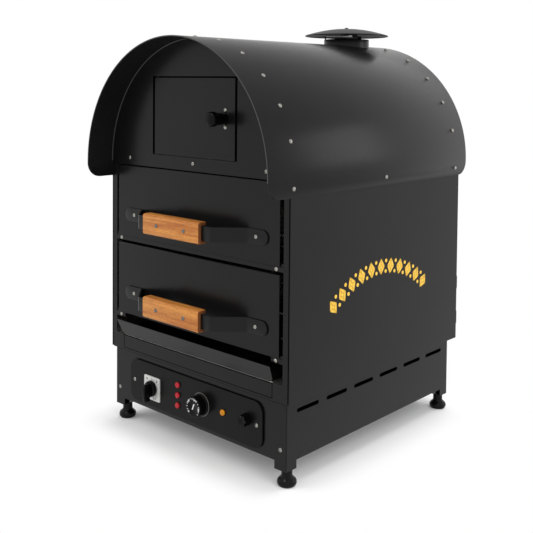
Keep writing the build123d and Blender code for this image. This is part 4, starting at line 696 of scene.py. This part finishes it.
# ---------------------------------------------------------------------------- dimmer knob
# Small moulded knob with six finger lobes for the lighting, pushed on its shaft.
dimmer = begin("dimmer_lobes", bpy.ops.mesh.primitive_circle_add, vertices=72, radius=0.0097,
               fill_type="NGON")
lobes = bmesh.from_edit_mesh(dimmer.data)
for corner in lobes.verts:
    around = Vector((1, 0)).angle_signed(corner.co.xy) if corner.co.xy.length else 0.0
    corner.co.xy *= 1 + 0.16 * cos(6 * around)
bmesh.update_edit_mesh(dimmer.data)
bpy.ops.mesh.select_all(action="SELECT")
bpy.ops.mesh.extrude_region_move(TRANSFORM_OT_translate={"value": (0, 0, 0.0138)})
bpy.ops.transform.resize(value=(0.95, 0.95, 1))
bpy.ops.mesh.extrude_region_move(TRANSFORM_OT_translate={"value": (0, 0, 0.0008)})
bpy.ops.transform.resize(value=(0.9, 0.9, 1))
bpy.ops.mesh.inset(thickness=0.0025)
bpy.ops.transform.translate(value=(0, 0, -0.0005))
bpy.ops.mesh.select_all(action="SELECT")
bpy.ops.mesh.normals_make_consistent(inside=False)
fit(dimmer, "dimmer_dial", "knob_black", phenolic, "dimmer_knob",
    at=facing_front(149.0, fascia_face - 0.3, 104.0))

# ---------------------------------------------------------------------------- switch bodies
# Behind the fascia, inside the base: thermostat and dimmer cases moulded in grey nylon, and the
# black nylon cable gland in the rear wall.
case_grey = moulded_plastic("nylon_case_grey", "8E8F8C", "9A9B98", 0.5, 0.0008, 2e-5)
dress(case_grey, "thermostat", "dimmer")
dress(nylon_black, "cable_gland")
soften(0.0003, "cable_gland")

# ---------------------------------------------------------------------------- body sheet
# Side panels, front frame, floor and rear panel: the same coated sheet, bolted and welded
# together on the base.
dress(powder, "side_panel_left", "side_panel_right", "front_frame", "lower_front_panel",
      "body_floor", "rear_panel")
soften(0.0004, "side_panel_left", "side_panel_right", "front_frame", "lower_front_panel",
       "rear_panel")

# ---------------------------------------------------------------------------- side ornament
# Cut vinyl on the right side panel, in an arch: lozenges with two dots between neighbours.
vinyl, tree, shader, place = new_material("cut_vinyl_yellow")
# Cast film lies flat, with a faint unevenness from the squeegee and the coat under it.
ripple = add_node(tree, "ShaderNodeTexNoise", {"Scale": 1 / 0.006, "Detail": 2.0},
                  {"Vector": place})
tone = add_node(tree, "ShaderNodeMix", {6: linear("F6BE2E"), 7: linear("FFD04A")},
                {0: ripple.outputs["Fac"]}, data_type="RGBA")
bump = add_node(tree, "ShaderNodeBump", {"Strength": 0.4, "Distance": 0.00005},
                {"Height": ripple.outputs["Fac"]})
tree.links.new(tone.outputs[2], shader.inputs["Base Color"])
tree.links.new(bump.outputs["Normal"], shader.inputs["Normal"])
shader.inputs["Roughness"].default_value = 0.4

arch_y, arch_low, arch_reach = 8.0, 113.0, 244.0
lozenge_pattern = begin("lozenge_pattern", bpy.ops.mesh.primitive_circle_add, vertices=4,
                        radius=0.0165, fill_type="NGON")
bpy.ops.transform.resize(value=(0.72, 1.0, 1.0))
bpy.ops.mesh.bevel(offset=0.0016, segments=4, affect="VERTICES")
bpy.ops.mesh.select_all(action="SELECT")
bpy.ops.mesh.inset(thickness=0.0058)
bpy.ops.mesh.delete(type="FACE")
bpy.ops.mesh.select_all(action="SELECT")
worked(lozenge_pattern, "SOLIDIFY", thickness=0.00015, offset=-1.0)
heart_pattern = begin("heart_pattern", bpy.ops.mesh.primitive_circle_add, vertices=4,
                      radius=0.0055, fill_type="NGON")
bpy.ops.transform.resize(value=(0.72, 1.0, 1.0))
bpy.ops.mesh.bevel(offset=0.0008, segments=4, affect="VERTICES")
worked(heart_pattern, "SOLIDIFY", thickness=0.00015, offset=-1.0)
dot_pattern = begin("dot_pattern", bpy.ops.mesh.primitive_circle_add, vertices=32,
                    radius=0.0036, fill_type="NGON")
bpy.ops.transform.translate(value=(0, 0.0105, 0))
bpy.ops.mesh.duplicate_move(TRANSFORM_OT_translate={"value": (0, -0.021, 0)})
bpy.ops.mesh.select_all(action="SELECT")
worked(dot_pattern, "SOLIDIFY", thickness=0.00015, offset=-1.0)
arch_span, arch_steps = 76, 20
for number in range(arch_steps + 1):
    lean = radians(-arch_span / 2 + arch_span / arch_steps * number)
    place = Matrix.Translation((
        0.2502,
        (arch_y + arch_reach * sin(lean)) / 1000,
        (arch_low + arch_reach * cos(lean)) / 1000,
    )) @ Matrix.Rotation(pi / 2, 4, "Z") @ Matrix.Rotation(pi / 2, 4, "X") @ Matrix.Rotation(
        -lean, 4, "Z"
    )
    if number % 2:
        shapes = (("dot", dot_pattern),)
    else:
        shapes = (("lozenge", lozenge_pattern), ("heart", heart_pattern))
    for shape_name, pattern in shapes:
        shape = copied(pattern, f"ornament_{shape_name}_{number}")
        fit(shape, "oven", "lamp_amber", vinyl, at=place)
for pattern in (lozenge_pattern, heart_pattern, dot_pattern):
    bpy.data.objects.remove(pattern)

# ---------------------------------------------------------------------------- oven inside
# Liner, chamber floor, fan and fan guard in aluminised steel; drawer frames in zinc plated and
# runners in coated sheet; mineral wool slabs; a sheathed element; a coated motor; chromed racks.
aluminised = plated_steel("aluminised_steel", "8F8E8A", "B4B3AE", 0.42, 0.004)
dress(aluminised, "oven_liner", "warmer_floor", "fan_guard", "fan_impeller")
zinc_sheet = plated_steel("zinc_plated_sheet", "86867F", "AFAEA6", 0.38, 0.006)
dress(zinc_sheet, "upper_drawer_frame", "lower_drawer_frame")
dress(powder, "drawer_runners", "warmer_pivots", "warmer_catch")
sheath = plated_steel("nickel_alloy_sheath_oxidised", "2B2825", "46403A", 0.5, 0.003)
dress(sheath, "oven_element")
motor_paint = powder_coat("powder_coat_motor", "3A3B3C", "474849", 0.45, 0.00004)
dress(motor_paint, "fan_motor")
wool, tree, shader, place = new_material("mineral_wool_slab")
fibre = add_node(tree, "ShaderNodeTexNoise", {"Scale": 1 / 0.003, "Detail": 6.0}, {"Vector": place})
tone = add_node(tree, "ShaderNodeMix", {6: linear("8B8054"), 7: linear("BDB07A")},
                {0: fibre.outputs["Fac"]}, data_type="RGBA")
bump = add_node(tree, "ShaderNodeBump", {"Strength": 1.0, "Distance": 0.001},
                {"Height": fibre.outputs["Fac"]})
tree.links.new(tone.outputs[2], shader.inputs["Base Color"])
tree.links.new(bump.outputs["Normal"], shader.inputs["Normal"])
shader.inputs["Roughness"].default_value = 0.95
dress(wool, "insulation")
rack_chrome = plated_steel("chrome_plated_wire", "B9B8B5", "D6D5D2", 0.2, 0.003)
dress(rack_chrome, "upper_drawer_rack", "lower_drawer_rack", "warmer_rack")

# ---------------------------------------------------------------------------- crumb tray
# Folded tray whose front wall leans out into a lip to catch what falls from the drawers.
dress(powder, "crumb_tray")
soften(0.00015, "crumb_tray")

# ---------------------------------------------------------------------------- drawers
# Two drawer fronts in coated sheet with folded returns, each with a strap handle: flat steel
# bent out at both ends, a hardwood grip on it, and four screws.
dress(powder, "upper_drawer_front", "lower_drawer_front")
soften(0.0006, "upper_drawer_front", "lower_drawer_front")
strap_coat = powder_coat("powder_coat_strap", "0A0A0A", "101010", 0.3, 0.00003)

# Oiled oak: ring porous, so the growth rings show as bands and the pores as fine dark dashes.
oak, tree, shader, place = new_material("oiled_oak")
lengthwise = add_node(tree, "ShaderNodeMapping", {"Scale": (7.0, 130.0, 170.0)}, {"Vector": place})
bands = add_node(
    tree, "ShaderNodeTexNoise", {"Scale": 1.0, "Detail": 3.0, "Distortion": 0.6},
    {"Vector": lengthwise.outputs[0]},
)
fine_line = add_node(tree, "ShaderNodeMapping", {"Scale": (28.0, 900.0, 1100.0)},
                     {"Vector": place})
lines = add_node(tree, "ShaderNodeTexNoise", {"Scale": 1.0, "Detail": 2.0},
                 {"Vector": fine_line.outputs[0]})
dash = add_node(tree, "ShaderNodeMapping", {"Scale": (150.0, 1500.0, 1700.0)}, {"Vector": place})
pores = add_node(tree, "ShaderNodeTexNoise", {"Scale": 1.0, "Detail": 1.0},
                 {"Vector": dash.outputs[0]})
ring_tone = add_node(
    tree, "ShaderNodeMix", {6: linear("B0631F"), 7: linear("DB9342")},
    {0: add_node(tree, "ShaderNodeMapRange", {1: 0.34, 2: 0.62},
                 {0: bands.outputs["Fac"]}).outputs[0]},
    data_type="RGBA",
)
line_tone = add_node(
    tree, "ShaderNodeMix", {7: linear("94541F")},
    {0: add_node(tree, "ShaderNodeMapRange", {1: 0.5, 2: 0.74, 4: 0.65},
                 {0: lines.outputs["Fac"]}).outputs[0], 6: ring_tone.outputs[2]},
    data_type="RGBA",
)
pore_mask = add_node(tree, "ShaderNodeMapRange", {1: 0.61, 2: 0.68, 4: 0.7},
                     {0: pores.outputs["Fac"]})
wood_tone = add_node(
    tree, "ShaderNodeMix", {7: linear("6B3A15")},
    {0: pore_mask.outputs[0], 6: line_tone.outputs[2]}, data_type="RGBA",
)
dip = add_node(tree, "ShaderNodeBump", {"Strength": 0.5, "Distance": 0.0002},
               {"Height": pore_mask.outputs[0]}, invert=True)
wood_gloss = add_node(tree, "ShaderNodeMapRange", {3: 0.42, 4: 0.6}, {0: bands.outputs["Fac"]})
tree.links.new(wood_tone.outputs[2], shader.inputs["Base Color"])
tree.links.new(dip.outputs["Normal"], shader.inputs["Normal"])
tree.links.new(wood_gloss.outputs[0], shader.inputs["Roughness"])


def pick(piece, kind, test):
    """Selects those verts, edges or faces of a piece in edit mode that pass a test."""
    bpy.ops.mesh.select_mode(type={"verts": "VERT", "edges": "EDGE", "faces": "FACE"}[kind])
    bpy.ops.mesh.select_all(action="DESELECT")
    shape = bmesh.from_edit_mesh(piece.data)
    for part in getattr(shape, kind):
        if test(part):
            part.select_set(True)
    bmesh.update_edit_mesh(piece.data)


def middle(edge):
    """The middle of an edge."""
    return (edge.verts[0].co + edge.verts[1].co) / 2


# The grips' end faces are cut across the grain, so they drink more oil and are darker.
end_grain, tree, shader, place = new_material("oiled_oak_end_grain")
rings = add_node(tree, "ShaderNodeTexNoise", {"Scale": 1 / 0.0025, "Detail": 3.0},
                 {"Vector": place})
tone = add_node(tree, "ShaderNodeMix", {6: linear("4A2810"), 7: linear("854A1C")},
                {0: rings.outputs["Fac"]}, data_type="RGBA")
tree.links.new(tone.outputs[2], shader.inputs["Base Color"])
shader.inputs["Roughness"].default_value = 0.6
dull_steel = plated_steel("stainless_steel_dull", "55534F", "8A8781", 0.18, 0.002)

# Strap, modelled about the handle's height: a line bent out and back, drawn up into a band,
# its bends rounded and its tabs cut round.
strap_pattern = begin("strap_pattern", bpy.ops.mesh.primitive_plane_add, size=0.001)
chain([
    (-200, -264.5, -13.5), (-149, -264.5, -13.5), (-101, -310, -13.5), (101, -310, -13.5),
    (149, -264.5, -13.5), (200, -264.5, -13.5),
])
bpy.ops.mesh.extrude_region_move(TRANSFORM_OT_translate={"value": (0, 0, 0.027)})
pick(strap_pattern, "edges", lambda edge: abs(edge.verts[0].co.x - edge.verts[1].co.x) < 1e-6
     and abs(middle(edge).x) < 0.19)
bpy.ops.mesh.bevel(offset=0.0032, segments=6, affect="EDGES")
pick(strap_pattern, "verts", lambda corner: abs(corner.co.x) > 0.199)
bpy.ops.mesh.bevel(offset=0.0132, segments=10, affect="VERTICES")
bpy.ops.mesh.select_all(action="SELECT")
bpy.ops.mesh.normals_make_consistent(inside=False)
facing = bmesh.from_edit_mesh(strap_pattern.data)
if sum(face.normal.y * face.calc_area() for face in facing.faces) > 0:
    bpy.ops.mesh.flip_normals()
worked(strap_pattern, "SOLIDIFY", thickness=0.003, offset=1.0)
worked(strap_pattern, "BEVEL", width=0.0004, segments=2, limit_method="ANGLE",
       angle_limit=radians(50))

# Grip: a slab planed from a stave, two cheeks left standing behind it for the strap's groove,
# the long front edges rounded over and all others eased.
grip_pattern = begin("grip_pattern", bpy.ops.mesh.primitive_cube_add, size=1.0)
bpy.ops.transform.resize(value=(0.157, 0.008, 0.040))
bpy.ops.transform.translate(value=(0, -0.317, 0))
for groove_side in (-0.0138, 0.0138):
    bpy.ops.mesh.select_all(action="SELECT")
    bpy.ops.mesh.bisect(plane_co=(0, 0, groove_side), plane_no=(0, 0, 1))
pick(grip_pattern, "faces",
     lambda face: face.normal.y > 0.9 and abs(face.calc_center_median().z) > 0.0138)
bpy.ops.mesh.extrude_region_move(TRANSFORM_OT_translate={"value": (0, 0.012, 0)})
pick(grip_pattern, "edges", lambda edge: abs(middle(edge).x) < 1e-6
     and middle(edge).y < -0.3205 and abs(middle(edge).z) > 0.0195)
bpy.ops.mesh.bevel(offset=0.0045, segments=6, affect="EDGES")
worked(grip_pattern, "BEVEL", width=0.0009, segments=3, limit_method="ANGLE",
       angle_limit=radians(50))

for level, body, handle_z in (("lower", "lower_drawer", 278.8), ("upper", "upper_drawer", 441.1)):
    height = Matrix.Translation((0, 0, handle_z / 1000))
    strap = copied(strap_pattern, f"{level}_strap")
    fit(strap, body, "strap_black", strap_coat, f"{level}_handle_strap", at=height)
    grip = copied(grip_pattern, f"{level}_grip")
    fit(grip, body, "grip_wood", oak, f"{level}_handle_grip", at=height)
    refinish(grip, end_grain, lambda face: abs(face.normal.x) > 0.9)
    fastened(
        dome_pattern, f"{level}_handle_screw", body, f"{level}_handle_screws",
        [facing_front(side * 171.4, -267.5, handle_z) for side in (-1, 1)],
    )
    fastened(
        dome_pattern, f"{level}_grip_screw", body, f"{level}_handle_screws",
        [facing_front(side * 39, -321, handle_z) for side in (-1, 1)], dull_steel,
    )
for pattern in (strap_pattern, grip_pattern):
    bpy.data.objects.remove(pattern)
fastened(
    bolt_pattern, "runner_bolt", "oven", "runner_bolts",
    [facing_front(side * 217.5, -263.0, z) for side in (-1, 1) for z in (389.6, 227.3)],
)

# ---------------------------------------------------------------------------- gable and door
# Front gable with its hatch: flat coated sheet, an open joint round the door that is widest at
# its sides, and a turned phenolic knob.
dress(powder, "gable_front", "warmer_door")
soften(0.0004, "gable_front", "warmer_door")
door_knob = turned(
    "hatch_knob",
    (
        (0, 0), (12, 0), (12, 0.8), (11.3, 1.4), (11, 25.6), (12.2, 27), (13.6, 28.8),
        (14, 31), (14, 35), (13.6, 37.6), (12.5, 40), (10.6, 41.9), (8, 43.2), (4.5, 43.9),
        (0, 44),
    ),
    steps=56,
)
fit(door_knob, "warm_door", "knob_black", phenolic, "warmer_knob",
    at=facing_front(88.0, -263.0, 648.3))
fastened(
    dome_pattern, "hatch_screw", "warm_door", "warmer_door_screws",
    [facing_front(88.0, -263.0, 648.3 + rise) for rise in (-16, 16)],
)

# ---------------------------------------------------------------------------- hood
# One 2 mm sheet rolled over the gables with straight skirts and rounded corners, with a painted
# highlight along its front edge, held by coach bolts through the gable flanges.
arch_z, hood_reach, skirt_z = 0.5493, 0.2525, 0.5173
hood = begin("rolled_hood", bpy.ops.mesh.primitive_circle_add, vertices=192, radius=hood_reach,
             rotation=(pi / 2, 0, 0), location=(0, -0.325, arch_z))
only(hood)
bpy.ops.object.transform_apply(location=True, rotation=True, scale=True)
bpy.ops.object.mode_set(mode="EDIT")
pick(hood, "verts", lambda corner: corner.co.z < arch_z - 1e-5)
bpy.ops.mesh.delete(type="VERT")
pick(hood, "verts", lambda corner: corner.co.z < arch_z + 1e-5)
bpy.ops.mesh.extrude_vertices_move(
    TRANSFORM_OT_translate={"value": (0, 0, skirt_z - arch_z)}
)
bpy.ops.mesh.select_all(action="SELECT")
bpy.ops.mesh.extrude_region_move(TRANSFORM_OT_translate={"value": (0, 0.65, 0)})
pick(hood, "verts", lambda corner: corner.co.z < skirt_z + 1e-5)
bpy.ops.mesh.bevel(offset=0.030, segments=12, affect="VERTICES")
bpy.ops.mesh.select_all(action="SELECT")
bpy.ops.mesh.normals_make_consistent(inside=False)
outward = bmesh.from_edit_mesh(hood.data)
if sum(face.normal.dot(face.calc_center_median() - Vector((0, 0, 0.4)))
       for face in outward.faces) < 0:
    bpy.ops.mesh.flip_normals()
worked(hood, "SOLIDIFY", thickness=0.002, offset=-1.0)
flue_cutter = begin("flue_cutter", bpy.ops.mesh.primitive_cylinder_add, vertices=96,
                    radius=0.0516, depth=0.2, location=(0, 0.215, 0.8))
only(flue_cutter)
bpy.ops.object.transform_apply(location=True, rotation=True, scale=True)
worked(hood, "BOOLEAN", operation="DIFFERENCE", object=flue_cutter, solver="EXACT")
bpy.data.objects.remove(flue_cutter)
worked(hood, "BEVEL", width=0.0005, segments=2, limit_method="ANGLE", angle_limit=radians(50))
fit(hood, "oven", "powder_black", powder, "hood", angle=25.0)
# Painted highlight: the faces on the sheet's front edge get a lighter, glossier copy of the coat.
edge_highlight_coat = powder_coat("powder_coat_painted_edge_highlight", "2A2929", "3A3938", 0.2, 0.00003, 1.5)
refinish(hood, edge_highlight_coat, lambda face: face.center.y < -0.3249 and face.normal.y < -0.4)

# A thin bead in the corner where the front gable meets the hood, lighter and glossier than the
# coat: a painted highlight along that joint.
joint_highlight = moulded_plastic("painted_joint_highlight", "1C1C1C", "262626", 0.2, 0.002, 2e-5)
bead = begin("gable_bead", bpy.ops.mesh.primitive_circle_add, vertices=192, radius=0.2504,
             rotation=(pi / 2, 0, 0), location=(0, -0.2646, arch_z))
only(bead)
bpy.ops.object.transform_apply(location=True, rotation=True, scale=True)
bpy.ops.object.mode_set(mode="EDIT")
pick(bead, "verts", lambda corner: corner.co.z < arch_z - 1e-5)
bpy.ops.mesh.delete(type="VERT")
bpy.ops.mesh.select_all(action="SELECT")
bpy.ops.mesh.extrude_region_move(TRANSFORM_OT_translate={"value": (0, 0.0015, 0)})
narrow = bmesh.from_edit_mesh(bead.data)
for corner in narrow.verts:
    if corner.select:
        reach = hypot(corner.co.x, corner.co.z - arch_z)
        corner.co.x *= 1 - 0.0016 / reach
        corner.co.z = arch_z + (corner.co.z - arch_z) * (1 - 0.0016 / reach)
bmesh.update_edit_mesh(bead.data)
worked(bead, "SOLIDIFY", thickness=0.0006, offset=0.0)
fit(bead, "oven", "powder_black", joint_highlight)

bolt_places = [
    Matrix.Translation((0.25255 * cos(lean), y, arch_z + 0.25255 * sin(lean)))
    @ Matrix.Rotation(pi / 2 - lean, 4, "Y")
    for y in (-0.259, 0.2795)
    for lean in (radians(15 * number) for number in range(1, 12))
] + [
    Matrix.Translation((side * hood_reach, y, 0.5331)) @ Matrix.Rotation(side * pi / 2, 4, "Y")
    for side in (-1, 1)
    for y in (-0.259, 0.018, 0.2795)
]
fastened(bolt_pattern, "hood_bolt", "oven", "hood_bolts", bolt_places)

# ---------------------------------------------------------------------------- flue
# Short rolled tube through the crown, and a spun cap on a three legged bracket, riveted on.
collar = turned(
    "flue_tube",
    (
        (51.7, 777.8), (51.7, 814.6), (51.4, 815.5), (50.9, 815.8), (50.4, 815.5), (50.2, 814.8),
        (50.2, 777.8), (51.7, 777.8),
    ),
    steps=96,
)
fit(collar, "oven", "powder_black", powder, "flue_collar", at=Matrix.Translation((0, 0.215, 0)))
# The cap is sprayed thinner, so it is duller than the body.
cap_coat = powder_coat("powder_coat_cap", "0C0B0B", "141313", 0.4, 0.00006, 1.2)
cap = turned(
    "flue_cap_spun",
    (
        (0, 840.8), (12, 840.6), (28, 839.6), (44, 837.6), (60, 834.6), (76, 830.8), (88, 827.4),
        (93.4, 825.9), (95.2, 825.0), (95.5, 823.9), (95.2, 822.9), (94.6, 822.8), (94.1, 823.3),
        (93.8, 824.2), (88, 825.8), (76, 829.3), (60, 833.1), (44, 836.1), (28, 838.1),
        (12, 839.1), (0, 839.3),
    ),
    steps=96,
)
fit(cap, "oven", "powder_black", cap_coat, "flue_cap", at=Matrix.Translation((0, 0.215, 0)))
dress(powder, "cap_bracket")
soften(0.0003, "cap_bracket")

# ---------------------------------------------------------------------------- rear door
# Service door on two lift-off hinges, with a row of vents and a small turned knob.
dress(powder, "rear_door", "rear_hinge_leaves", "rear_hinges")
soften(0.0004, "rear_door", "rear_hinge_leaves", "rear_hinges")
rear_knob = turned(
    "service_knob",
    (
        (0, 0), (6, 0), (6, 4), (8.8, 6), (10, 8.4), (10, 12), (9.2, 14.4), (7.4, 15.7), (4, 16),
        (0, 16),
    ),
)
fit(rear_knob, "service_door", "knob_black", phenolic, "rear_door_knob",
    at=Matrix.Translation((-0.18, 0.305, 0.238)) @ Matrix.Rotation(-pi / 2, 4, "X"))
for pattern in (screw_pattern, bolt_pattern, dome_pattern):
    bpy.data.objects.remove(pattern)
